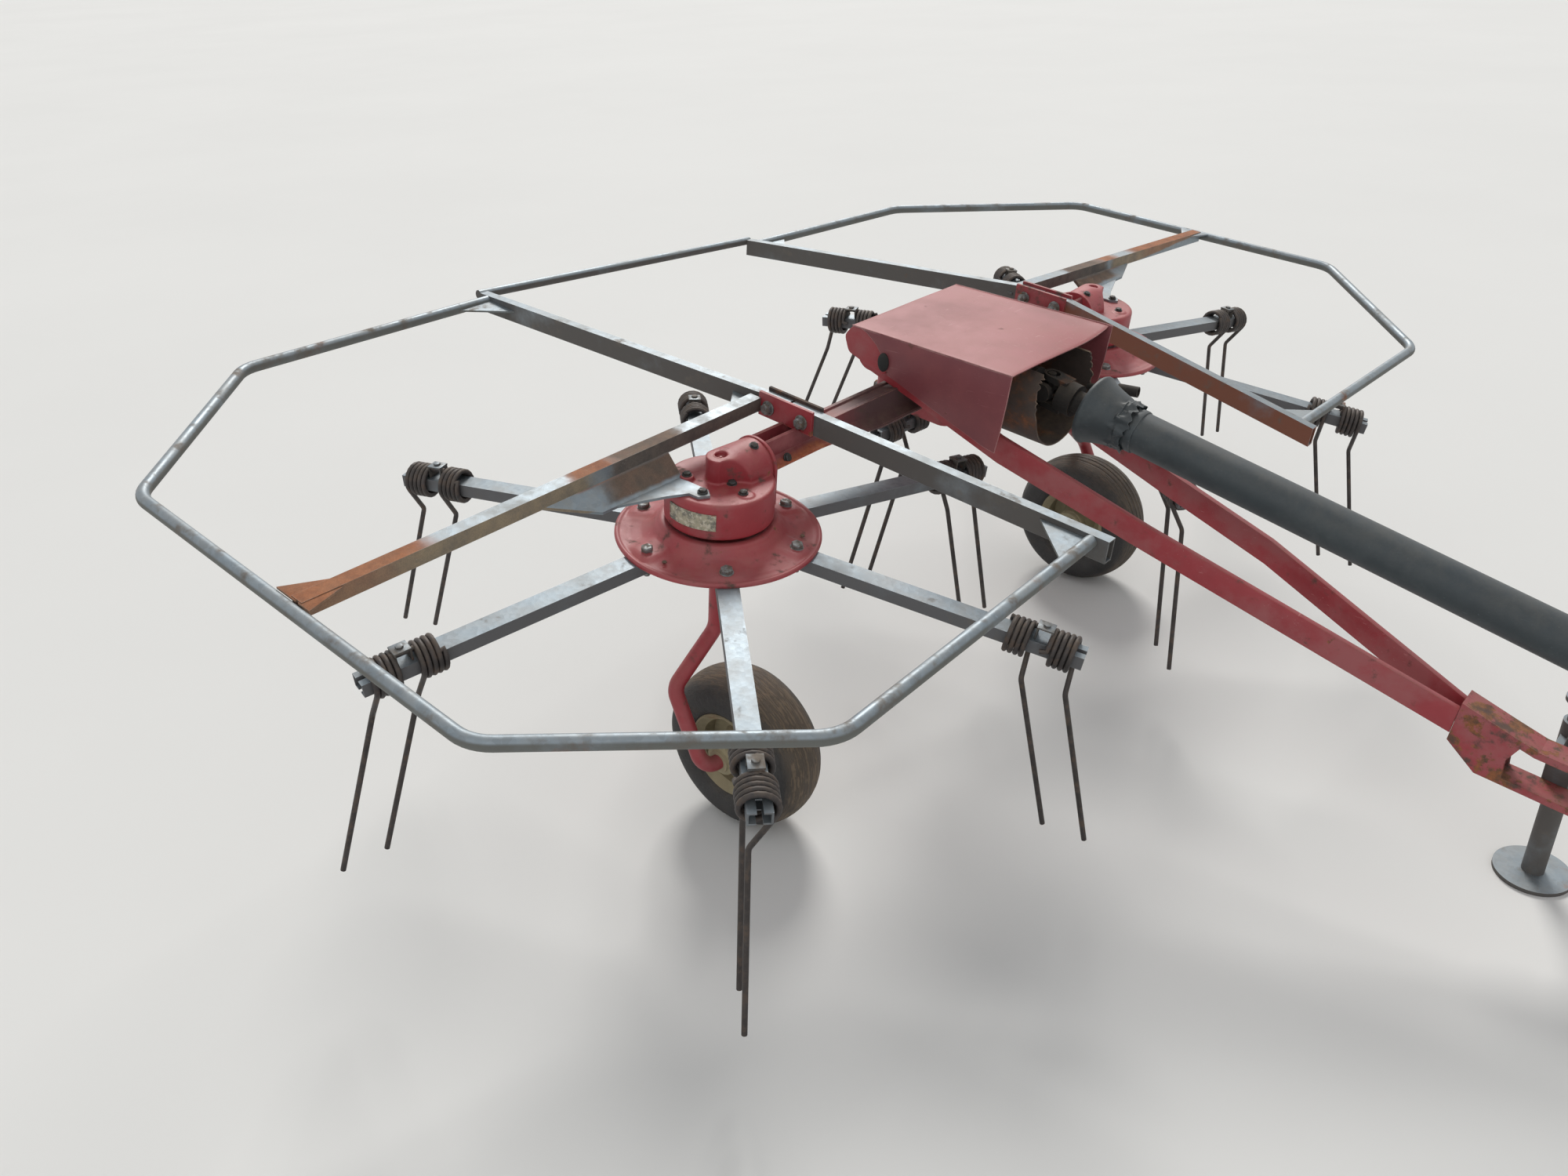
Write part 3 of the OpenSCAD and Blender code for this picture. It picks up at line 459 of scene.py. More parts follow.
def effect(name, inputs, outputs):
    """An empty shader group with its named sockets."""
    tree = bpy.data.node_groups.new(name, "ShaderNodeTree")
    for label, start in inputs.items():
        kind = "NodeSocketColor" if isinstance(start, tuple) else "NodeSocketFloat"
        tree.interface.new_socket(label, in_out="INPUT", socket_type=kind).default_value = start
    for label in outputs:
        kind = "NodeSocketColor" if label == "Colour" else "NodeSocketFloat"
        tree.interface.new_socket(label, in_out="OUTPUT", socket_type=kind)
    return Net(tree), tree.nodes.new("NodeGroupInput").outputs, tree.nodes.new("NodeGroupOutput").inputs


def make_patches():
    """Soft-edged patches that cover a share of the surface."""
    net, given, out = effect("Worn patches", {"Scale": 12.0, "Cover": 0.3, "Softness": 0.06}, ["Mask"])
    field = net.cloud(given["Scale"], 8.0, 0.62)
    level = net.maths("MULTIPLY_ADD", given["Cover"], -0.46, 0.74)
    low = net.maths("SUBTRACT", level, given["Softness"])
    high = net.maths("ADD", level, given["Softness"])
    net.link(net.step(field, low, high), out["Mask"])


def make_edge_wear_and_highlight():
    """A mask on the outer edges, broken up by noise, for worn edges and for painted highlights along edges."""
    net, given, out = effect("Edge wear and highlight", {"Width": 0.0015, "Amount": 0.6, "Scale": 60.0}, ["Mask"])
    soft = net.node("Bevel", {"Radius": given["Width"]}, samples=4).outputs["Normal"]
    sharp = net.normal()
    same = net.node("VectorMath", {0: soft, 1: sharp}, operation="DOT_PRODUCT").outputs["Value"]
    edge = net.step(net.maths("SUBTRACT", 1.0, same), 0.015, 0.16)
    field = net.step(net.cloud(given["Scale"], 5.0, 0.65), 0.36, 0.60)
    net.link(net.times(net.times(edge, field), given["Amount"], clamp=True), out["Mask"])


def make_dust():
    """Dust that lies on what faces up."""
    net, given, out = effect("Settled dust", {"Amount": 0.4, "Scale": 14.0}, ["Mask"])
    up = net.up()
    facing = net.step(up, -0.1, 0.95)
    field = net.step(net.cloud(given["Scale"], 7.0, 0.7), 0.30, 0.72)
    net.link(net.times(net.times(facing, field), given["Amount"], clamp=True), out["Mask"])


def make_spangle():
    """Zinc crystals, with their grey levels and faint relief."""
    net, given, out = effect("Zinc spangle", {"Scale": 130.0}, ["Level", "Height"])
    cells = net.node("TexVoronoi", {"Vector": net.place(), "Scale": given["Scale"]})
    level = net.node("SeparateColor", {0: cells.outputs["Color"]}).outputs[0]
    slow = net.cloud(9.0, 4.0)
    net.link(net.maths("MULTIPLY_ADD", level, 0.35, net.times(slow, 0.65)), out["Level"])
    net.link(net.times(cells.outputs["Distance"], 0.5), out["Height"])


def make_scratches():
    """Fine scratches that run in two slanting directions."""
    net, given, out = effect("Scratches", {"Scale": 1.0, "Amount": 0.5}, ["Mask"])
    lines = []
    for turn, reach in ((0.5, (16, 420, 420)), (-0.3, (380, 22, 380))):
        run = net.node("Mapping", {"Vector": net.place(), "Rotation": (0.1, 0.1, turn), "Scale": reach})
        scaled = net.node("VectorMath", {0: run.outputs[0], 3: given["Scale"]}, operation="SCALE")
        thin = net.cloud(1.0, 2.0, 0.5, scaled.outputs[0])
        lines.append(net.step(thin, 0.69, 0.75))
    both = net.maths("MAXIMUM", *lines)
    some = net.step(net.cloud(7.0, 3.0), 0.45, 0.62)
    net.link(net.times(net.times(both, some), given["Amount"]), out["Mask"])


def make_grain():
    """Fine relief of sprayed paint, cast iron or rust."""
    net, given, out = effect("Surface grain", {"Fine": 900.0, "Coarse": 120.0, "Mix": 0.5}, ["Height"])
    fine = net.cloud(given["Fine"], 3.0)
    coarse = net.cloud(given["Coarse"], 5.0)
    net.link(net.node("Mix", {0: given["Mix"], 2: fine, 3: coarse}).outputs[0], out["Height"])


def make_rust():
    """Rust colour that runs from dark old to bright fresh rust."""
    net, given, out = effect("Rust colour", {"Bright": (0.33, 0.115, 0.042, 1.0), "Dark": (0.105, 0.058, 0.038, 1.0),
                                             "Scale": 40.0}, ["Colour"])
    field = net.step(net.cloud(given["Scale"], 8.0, 0.7), 0.33, 0.68)
    mix = net.node("Mix", {0: field, 6: given["Dark"], 7: given["Bright"]}, data_type="RGBA")
    speck = net.cloud(420.0, 2.0)
    light = net.node("HueSaturation", {"Value": net.maths("MULTIPLY_ADD", speck, 0.7, 0.65),
                                       "Color": mix.outputs[2]})
    net.link(light.outputs[0], out["Colour"])


class Finish(Net):
    """One material being mixed: colour, roughness, metal and height go layer on layer."""

    def __init__(self, name, colour, rough, metal=0.0):
        self.material = bpy.data.materials.new(name)
        self.material.use_nodes = True
        super().__init__(self.material.node_tree)
        self.shader = self.tree.nodes["Principled BSDF"]
        self.colour = self.fixed("RGB", (*colour, 1))
        self.rough = self.fixed("Value", rough)
        self.metal = self.fixed("Value", metal)

    def use(self, group, output="Mask", **values):
        made = self.tree.nodes.new("ShaderNodeGroup")
        made.node_tree = bpy.data.node_groups[group]
        for name, value in values.items():
            made.inputs[name].default_value = value
        return made.outputs[output]

    def rust_colour(self, scale=40.0, bright=None, dark=None):
        return self.use("Rust colour", "Colour", Scale=scale, Bright=(*(bright or colours().rust), 1),
                        Dark=(*(dark or colours().old_rust), 1))

    def blend(self, mask, a, b, kind="FLOAT"):
        first, second, result = (2, 3, 0) if kind == "FLOAT" else (6, 7, 2)
        return self.node("Mix", {0: mask, first: a, second: b}, data_type=kind).outputs[result]

    def layer(self, mask, colour=None, rough=None, metal=None):
        if colour is not None:
            wanted = colour if isinstance(colour, bpy.types.NodeSocket) else (*colour, 1)
            self.colour = self.blend(mask, self.colour, wanted, "RGBA")
        if rough is not None:
            self.rough = self.blend(mask, self.rough, rough)
        if metal is not None:
            self.metal = self.blend(mask, self.metal, metal)

    def patches(self, scale, cover, softness, *coat):
        self.layer(self.use("Worn patches", Scale=scale, Cover=cover, Softness=softness), *coat)

    def edges(self, width, amount, scale, *coat):
        self.layer(self.use("Edge wear and highlight", Width=width, Amount=amount, Scale=scale), *coat)

    def dusted(self, amount, scale, *coat):
        self.layer(self.use("Settled dust", Amount=amount, Scale=scale), *coat)

    def scratched(self, scale, amount, *coat):
        self.layer(self.use("Scratches", Scale=scale, Amount=amount), *coat)

    def lighten(self, value):
        self.colour = self.node("HueSaturation", {"Value": value, "Color": self.colour}).outputs[0]

    def vary(self, scale, low, high):
        """Slow lighter and darker areas."""
        field = self.step(self.cloud(scale, 5.0), 0.25, 0.75)
        self.lighten(self.maths("MULTIPLY_ADD", field, high - low, low))

    def spangled(self, share, least):
        """Zinc crystals, each a little lighter or darker."""
        level = self.use("Zinc spangle", "Level", Scale=110.0)
        self.lighten(self.maths("MULTIPLY_ADD", level, share, least))

    def relief(self, height, depth):
        before = self.shader.inputs["Normal"].links
        bump = self.node("Bump", {"Height": height, "Distance": depth, "Strength": 1.0})
        if before:
            self.link(before[0].from_socket, bump.inputs["Normal"])
        self.link(bump.outputs[0], self.shader.inputs["Normal"])

    def upright(self):
        """A broken mask on the walls, not on what faces up."""
        return self.times(self.step(self.up(), 0.62, 0.25), self.step(self.cloud(8.0, 6.0), 0.12, 0.50))

    def made(self, fine, coarse, mix, depth):
        """Adds the fine grain and wires the layers to the shader."""
        self.relief(self.use("Surface grain", "Height", Fine=fine, Coarse=coarse, Mix=mix), depth)
        return self.wired()

    def wired(self):
        self.link(self.colour, self.shader.inputs["Base Color"])
        self.link(self.rough, self.shader.inputs["Roughness"])
        if self.metal.node.type == "MIX":
            self.link(self.metal, self.shader.inputs["Metallic"])
        else:
            self.shader.inputs["Metallic"].default_value = self.metal.default_value
        return self.material


def red_paint(name, fade=0.35, rust=0.12, chips=0.7, dirt=0.35, scratch=0.4, cast=False):
    paint = colours()
    coat = Finish(name, paint.red, 0.42)
    coat.vary(5.0, 0.82, 1.14)
    coat.dusted(min(fade * 1.3, 1), 6.0, paint.faded, 0.55)
    coat.patches(9.0, fade, 0.12, shaded(0.8, paint.faded), 0.6)
    coat.scratched(1.0, scratch, (0.62, 0.28, 0.27), 0.5)
    coat.patches(26.0, rust, 0.03, coat.rust_colour(60.0), 0.85)
    coat.edges(0.0022, chips, 45.0, coat.rust_colour(90.0, dark=(0.2, 0.16, 0.14)), 0.7, 0.3)
    coat.patches(34.0, dirt * 0.7, 0.08, (0.10, 0.055, 0.045), 0.8)
    coat.dusted(dirt * 0.45, 30.0, paint.dust, 0.9)
    return coat.made(700 if cast else 1400, 95 if cast else 30, 0.55 if cast else 0.3, 0.0007 if cast else 0.0002)


def hood_red(name):
    """Pink on top, partly sun-faded paint and partly painted light; dull crimson down the sides as painted shade;
    painted highlights along the folds and edges.
    """
    paint = colours()
    # Base colour: the sides' dull crimson, painted shade
    coat = Finish(name, (0.205, 0.050, 0.060), 0.46)
    coat.vary(4.0, 0.86, 1.1)
    # What faces up goes pinker: partly sun-faded paint, partly painted light
    coat.layer(coat.step(coat.up(), 0.45, 0.85), (0.315, 0.056, 0.060), 0.50)
    coat.patches(5.0, 0.35, 0.16, shaded(0.62, paint.faded), 0.58)
    coat.scratched(1.0, 0.6, (0.58, 0.30, 0.29), 0.5)
    coat.patches(30.0, 0.10, 0.03, (0.16, 0.05, 0.045), 0.7)
    # Painted highlight: a pale pink line along the folds and edges
    coat.edges(0.0030, 0.95, 9.0, (0.72, 0.43, 0.40), 0.45)
    coat.dusted(0.10, 20.0, paint.dust, 0.9)
    return coat.made(1400, 30, 0.3, 0.0002)


def beam_casting(name):
    """Crimson casting whose lower flange has gone orange with rust, and painted shade darkening it towards the
    machine's middle.
    """
    coat = Finish(name, (0.215, 0.034, 0.042), 0.5)
    coat.vary(9.0, 0.75, 1.15)
    coat.patches(13.0, 0.35, 0.12, shaded(0.7, colours().faded), 0.6)
    # Painted shade: the casting goes dark towards the machine's middle
    inward = coat.maths("MULTIPLY_ADD", coat.cloud(12.0, 6.0), 0.10, coat.across())
    coat.layer(coat.step(inward, 0.42, 0.30), (0.070, 0.032, 0.034), 0.6)
    lean = coat.coordinate("Z")
    forward = coat.maths("MULTIPLY_ADD", coat.coordinate("X"), 0.1228, lean)
    height = coat.maths("MULTIPLY_ADD", coat.cloud(28.0, 6.0), 0.012, forward)
    low = coat.step(height, 0.7035, 0.6955)
    out = coat.step(coat.across(), 0.36, 0.42)
    coat.layer(coat.times(low, out), coat.rust_colour(45.0, bright=(0.46, 0.135, 0.050), dark=(0.30, 0.060, 0.035)),
               0.8)
    coat.patches(22.0, 0.22, 0.05, (0.075, 0.045, 0.038), 0.8)
    coat.edges(0.0022, 0.7, 40.0, (0.58, 0.27, 0.22), 0.6)
    coat.dusted(0.18, 30.0, colours().dust, 0.9)
    return coat.made(700, 95, 0.5, 0.0006)


def galvanised(name, rust=0.12, dull=0.3, dirt=0.25, side_shade_and_weathering=(0.105, 0.098, 0.092)):
    """Zinc that stays bright on top, with walls darkened and browned down its sides, partly by weathering and partly as
    painted shade.
    """
    paint = colours()
    coat = Finish(name, paint.zinc, 0.42, 0.62)
    coat.spangled(0.55, 0.74)
    coat.patches(9.0, dull, 0.16, (0.275, 0.31, 0.33), 0.62, 0.35)
    # The walls darken and go brown: partly weathering, partly painted shade
    coat.layer(coat.upright(), side_shade_and_weathering, 0.82, 0.15)
    coat.patches(26.0, dirt * 0.6, 0.12, (0.15, 0.13, 0.11), 0.8, 0.2)
    coat.patches(10.0, rust, 0.07, coat.rust_colour(70.0), 0.88, 0.05)
    coat.edges(0.0016, 0.5, 30.0, (0.42, 0.46, 0.48), 0.42, 0.6)
    coat.dusted(0.16, 24.0, paint.dust, 0.85, 0.1)
    coat.relief(coat.use("Zinc spangle", "Height", Scale=110.0), 0.0002)
    return coat.made(800, 60, 0.5, 0.0002)


def outrigger_steel(name, burnt, foot, drop):
    """Galvanised tube with long bands of rust on top and a bright foot; down its sides painted light and shade: painted
    light in tan on the outer walls, painted shadow on the tube's inner walls, and a brown web, partly rust and partly
    painted shade.
    """
    paint = colours()
    coat = Finish(name, paint.zinc, 0.42, 0.6)
    coat.spangled(0.5, 0.80)
    coat.patches(12.0, 0.40, 0.14, (0.30, 0.335, 0.35), 0.66, 0.3)
    across = coat.maths("MULTIPLY_ADD", coat.cloud(14.0, 7.0), 0.10, coat.across())
    across = coat.maths("SUBTRACT", across, 0.05)
    up = coat.up()
    upward, wall = coat.step(up, 0.25, 0.7), coat.step(up, 0.62, 0.3)
    height = coat.maths("MULTIPLY_ADD", coat.cloud(30.0, 5.0), 0.008, coat.coordinate("Z"))
    raised = coat.step(height, foot, foot + 0.006)
    under = coat.maths("MULTIPLY_ADD", coat.maths("SUBTRACT", across, 0.47), drop, coat.coordinate("Z"))
    tube = coat.step(under, 0.768, 0.7735)
    orange = coat.rust_colour(34.0, bright=(0.40, 0.15, 0.065), dark=(0.25, 0.095, 0.045))
    brown = coat.rust_colour(26.0, bright=(0.19, 0.115, 0.08), dark=(0.105, 0.078, 0.062))
    # Painted light: warm tan for the lit outer walls
    painted_lit_tan = coat.rust_colour(20.0, bright=(0.34, 0.255, 0.15), dark=(0.20, 0.155, 0.105))
    # Painted shadow: dark brown-grey for the shaded walls of the tube
    dull = coat.rust_colour(22.0, bright=(0.150, 0.118, 0.096), dark=(0.080, 0.068, 0.060))

    def band(low, high, side, colour, amount=1.0, soft=0.02):
        inside = coat.times(coat.step(across, low - soft, low + soft),
                            coat.step(across, high + soft, high - soft))
        mask = coat.times(coat.times(inside, side), raised)
        coat.layer(coat.times(mask, amount), colour, 0.86, 0.05)

    topside = coat.times(upward, tube)
    web = coat.maths("SUBTRACT", 1.0, tube)
    # The web: brown, partly rust and partly painted shade
    band(0.30, 0.845, web, brown, 0.95, 0.03)
    # Painted light in tan on the outer walls
    band(0.865, 1.6, wall, painted_lit_tan, 0.85)
    # Painted shadow on the tube's inner walls
    band(0.30, 0.83, coat.times(wall, tube), dull, 0.95)
    band(0.655, 0.815, topside, brown, 0.95)
    band(0.815, 0.90, topside, orange, 0.95)
    band(burnt, 1.6, topside, orange, 1.0, 0.035)
    band(burnt + 0.06, 1.6, wall, orange, 0.45, 0.06)
    coat.edges(0.0016, 0.45, 30.0, (0.50, 0.49, 0.46), 0.4, 0.6)
    coat.scratched(0.7, 0.5, (0.46, 0.42, 0.38), 0.6)
    coat.dusted(0.2, 24.0, paint.dust, 0.9, 0.05)
    return coat.made(700, 90, 0.5, 0.0004)


def bracket_red(name):
    """Red outer plates, and inner ones gone dark with rust."""
    coat = Finish(name, colours().red, 0.5)
    coat.vary(7.0, 0.8, 1.15)
    coat.patches(12.0, 0.4, 0.12, shaded(0.75, colours().faded), 0.6)
    inner = coat.step(coat.across(), 0.438, 0.434)
    coat.layer(inner, coat.rust_colour(30.0, bright=(0.095, 0.060, 0.046), dark=(0.040, 0.032, 0.030)), 0.85, 0.1)
    coat.patches(26.0, 0.25, 0.04, coat.rust_colour(60.0), 0.85)
    outer = coat.maths("SUBTRACT", 1.0, inner)
    edge = coat.times(coat.use("Edge wear and highlight", Width=0.0025, Amount=1.0, Scale=14.0), outer)
    coat.layer(edge, (0.62, 0.26, 0.23), 0.5)
    coat.dusted(0.15, 30.0, colours().dust, 0.9)
    return coat.made(1200, 60, 0.4, 0.0003)


def rusted(name, orange=0.3, dark=(0.075, 0.058, 0.050), rubbed=0.7):
    coat = Finish(name, dark, 0.8, 0.15)
    coat.vary(9.0, 0.7, 1.5)
    coat.patches(11.0, orange, 0.09, coat.rust_colour(50.0), 0.9, 0.0)
    coat.edges(0.002, rubbed, 40.0, (0.42, 0.30, 0.20), 0.7, 0.2)
    coat.dusted(rubbed / 2, 20.0, colours().dust, 0.9, 0.0)
    return coat.made(600, 80, 0.5, 0.0010)


def spring_steel():
    coat = Finish("Spring wire", colours().spring, 0.5, 0.35)
    coat.vary(30.0, 0.7, 1.5)
    coat.patches(60.0, 0.35, 0.1, (0.085, 0.060, 0.046), 0.72, 0.15)
    # Tan on the coils' tops: partly dust, partly painted highlight
    coat.dusted(0.45, 40.0, (0.20, 0.155, 0.115), 0.85, 0.0)
    return coat.made(900, 150, 0.5, 0.0003)


def tyre_rubber(name, side, tread=0.7):
    """Rubber with a dusty tread and fine cracks that run round the tyre."""
    coat = Finish(name, colours().rubber, 0.68)
    centre = WHEEL_AT[side]
    spot = coat.node("Mapping", {"Vector": coat.place(), "Location": tuple(-centre)}).outputs[0]
    axes = coat.node("SeparateXYZ", {0: spot}).outputs
    radius = coat.maths("SQRT", coat.maths("ADD", coat.times(axes["X"], axes["X"]),
                                           coat.times(axes["Z"], axes["Z"])))
    angle = coat.maths("ARCTAN2", axes["Z"], axes["X"])
    round_spot = coat.node("CombineXYZ", {"X": coat.maths("COSINE", angle), "Y": coat.maths("SINE", angle)}).outputs[0]
    around = coat.node("VectorMath", {0: round_spot, 3: 1.4}, operation="SCALE").outputs[0]
    along = coat.node("CombineXYZ", {"Z": coat.times(axes["Y"], 70.0)}).outputs[0]
    strip = coat.node("VectorMath", {0: around, 1: along}, operation="ADD").outputs[0]
    cracks = coat.step(coat.cloud(4.0, 5.0, 0.6, strip), 0.47, 0.56)
    worn = coat.step(radius, 0.146, 0.161)
    dusty = coat.times(worn, coat.maths("MULTIPLY_ADD", cracks, 0.5, 0.35))
    coat.vary(18.0, 0.75, 1.35)
    coat.layer(coat.times(dusty, tread), (0.225, 0.165, 0.110), 0.92)
    coat.patches(22.0, 0.20, 0.12, (0.060, 0.052, 0.044), 0.9)
    coat.dusted(0.12, 30.0, colours().dust, 0.95)
    coat.relief(cracks, 0.0006)
    return coat.made(1100, 160, 0.4, 0.0003)


def guard_plastic():
    coat = Finish("Shaft guard plastic", colours().shell, 0.48)
    coat.vary(6.0, 0.85, 1.2)
    coat.patches(14.0, 0.35, 0.14, (0.052, 0.063, 0.068), 0.60)
    coat.scratched(0.8, 0.55, (0.12, 0.14, 0.15), 0.55)
    coat.edges(0.0025, 0.6, 40.0, (0.22, 0.23, 0.23), 0.6)
    coat.dusted(0.20, 26.0, (0.20, 0.18, 0.15), 0.9)
    return coat.made(1000, 70, 0.4, 0.00025)


def fastener_steel(name, shade):
    coat = Finish(name, shaded(shade, (0.30, 0.315, 0.315)), 0.5, 0.6)
    coat.patches(90.0, 0.5, 0.1, shaded(shade, (0.16, 0.125, 0.095)), 0.8, 0.2)
    coat.edges(0.0012, 0.8 * shade, 120.0, (0.50, 0.51, 0.50), 0.4, 0.8)
    coat.patches(50.0, 0.25 * shade, 0.05, coat.rust_colour(120.0), 0.9, 0.0)
    return coat.made(1500, 300, 0.5, 0.0002)


def worn_label():
    """A bare plate whose pale face has yellowed and flaked."""
    coat = Finish("Bare worn plate", (0.44, 0.41, 0.30), 0.6)
    coat.patches(60.0, 0.48, 0.08, (0.20, 0.20, 0.17), 0.7)
    coat.patches(150.0, 0.40, 0.05, (0.60, 0.57, 0.46), 0.65)
    coat.patches(45.0, 0.22, 0.03, (0.34, 0.17, 0.12), 0.8)
    return coat.made(1500, 260, 0.5, 0.0003)


GROUPS = (make_patches, make_edge_wear_and_highlight, make_dust, make_spangle, make_scratches, make_grain, make_rust)

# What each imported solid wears, by the start of its name
SOLID_COATS = {
    "gearbox": "Cast red", "beam": "Beam red", "head": "Cast red", "bracket_right": "Bracket red",
    "bracket_left": "Beam red", "rail_rear": "Rail zinc", "rail_front_right": "Rail zinc",
    "rail_front_left": "Left rail zinc", "hoop": "Hoop zinc", "tie_tube": "Rail zinc", "drawbar": "Drawbar red",
    "hitch": "Hitch red", "stand": "Rail zinc", "hood": "Hood red", "joint_shield": "Rusted shield",
    "guard": "Shaft guard plastic", "shaft_cradle": "Rail zinc", "input_yoke": "Joint steel",
    "drive_shaft": "Joint steel", "front_yoke": "Joint steel", "wheel_leg": "Leg red",
    "tyre": "Right tyre rubber", "rim": "Rusted rim", "disc": "Pressed disc red", "arms": "Arm zinc",
    "tines": "Spring wire", "outrigger_right": "Right outrigger", "outrigger_left": "Left outrigger",
}


class TEDDER_OT_finishes(bpy.types.Operator):
    """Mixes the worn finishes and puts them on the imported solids"""
    bl_idname = "tedder.finishes"
    bl_label = "Finishes"

    def execute(self, context):
        for make in GROUPS:
            make()
        red_paint("Beam red", 0.35, 0.22, 0.8, 0.45)
        red_paint("Cast red", 0.30, 0.08, 0.6, 0.35, 0.25, cast=True)
        red_paint("Pressed disc red", 0.40, 0.05, 0.7, 0.28, 0.45)
        hood_red("Hood red")
        beam_casting("Beam casting red")
        red_paint("Drawbar red", 0.45, 0.06, 0.9, 0.2, 0.5)
        red_paint("Hitch red", 0.55, 0.45, 1.0, 0.5, 0.5)
        red_paint("Leg red", 0.25, 0.12, 0.6, 0.3, 0.3)
        galvanised("Rail zinc", 0.10, 0.35, 0.25)
        galvanised("Left rail zinc", 0.10, 0.35, 0.25, (0.230, 0.092, 0.058))
        galvanised("Hoop zinc", 0.08, 0.30, 0.45, (0.150, 0.155, 0.145))
        galvanised("Arm zinc", 0.0, 0.20, 0.15, (0.125, 0.125, 0.13))
        outrigger_steel("Right outrigger", 1.18, 0.735, 0.018)
        outrigger_steel("Left outrigger", 0.98, 0.735, 0.066)
        rusted("Rusted shield", 0.42)
        rusted("Rusted rim", 0.16, (0.270, 0.235, 0.150))
        rusted("Joint steel", 0.08, (0.026, 0.023, 0.021), 0.25)
        spring_steel()
        galvanised("Clamp steel", 0.2, 0.0, 0.8, (0.06, 0.055, 0.05))
        guard_plastic()
        rusted("Black plug", 0.0, (0.018, 0.019, 0.018), 0.1)
        fastener_steel("Dull bolts", 0.75)
        # Bolt steel at a fifth of the brightness, for the head bolts and the stains round the disc bolts
        fastener_steel("Dark bolts", 0.20)
        worn_label()
        tyre_rubber("Right tyre rubber", "right", 0.85)
        tyre_rubber("Left tyre rubber", "left", 0.45)
        bracket_red("Bracket red")
        for solid, coat in SOLID_COATS.items():
            for name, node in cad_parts.items():
                if name.startswith(solid):
                    dress(node, coat)
        return {"FINISHED"}


class TEDDER_OT_tines(bpy.types.Operator):
    """Winds the double spring tines and clamps one to each arm"""
    bl_idname = "tedder.tines"
    bl_label = "Spring tines"

    def wind(self, leg_x, turns, inwards):
        """One leg and its coil; the coil winds towards -X and ends inwards."""
        wire = sizes().wire
        radius = sizes().coil / 2 + wire / 2
        kick, fall, flare, steps_a_turn = 0.006, 0.286, radians(22), 20
        knee = Vector((leg_x + kick, -0.012, -0.074))
        foot = Vector((leg_x + kick + fall * tan(flare), -0.016, knee.z - fall))
        start = atan2(knee.z, knee.y) + acos(radius / hypot(knee.y, knee.z))
        off = Vector((leg_x, radius * cos(start), radius * sin(start)))
        run = list(reversed(bent([off, knee, foot], 0.020)))
        steps = int(turns * steps_a_turn)
        for k in range(1, steps + 1):
            angle = start + tau * turns * k / steps
            run.append(Vector((leg_x - wire * turns * k / steps * 1.01, radius * cos(angle), radius * sin(angle))))
        run.append(run[-1] + Vector((inwards * 0.012, 0, -0.004)))
        return line("tine wire", run, thick=wire, sides=3)

    def execute(self, context):
        coils = [self.wind(0.05775, 4.55, -1), self.wind(-0.01975, 4.2, 1)]
        bridge = line("tine bridge", mm((19, 4, 28.7), (0, 6, 30), (-19, 4, 28.7)), thick=sizes().wire, sides=3)
        tines = join(*coils, bridge)
        saddle = sheet_plate("saddle", mm((-14.5, -13), (14.5, -13), (14.5, 13), (-14.5, 13)), 0.0035)
        put(saddle, shifted(0, 0, 0.0335))
        cheeks = [block("cheek", (x, -0.012, 0.0124), (x + 0.0035, 0.012, 0.0345)) for x in (-0.0145, 0.011)]
        bolt = put(hex_bolt(0.012, 0.0035), shifted(0, 0, 0.037))
        clamp_piece = join(saddle, *cheeks, bolt)
        for side in SIDES:
            places = [place @ TINES_OUT for place in arm_frames(side)]
            for master, name, slot, coat, cover in (
                    (tines, "tine_wires_", "spring_steel", "Spring wire", ["tines_" + side]),
                    (clamp_piece, "tine_clamps_", "galvanised", "Clamp steel", [])):
                done(copies(twin_of(master), places), name + side, "rotor_" + side, coat, cover, 50)
        drop(tines, clamp_piece)
        return {"FINISHED"}


def flange(radius):
    """Height of the disc's sloping flange."""
    return -(radius - BOLT_CIRCLE) * tan(radians(ARM_DROOP))


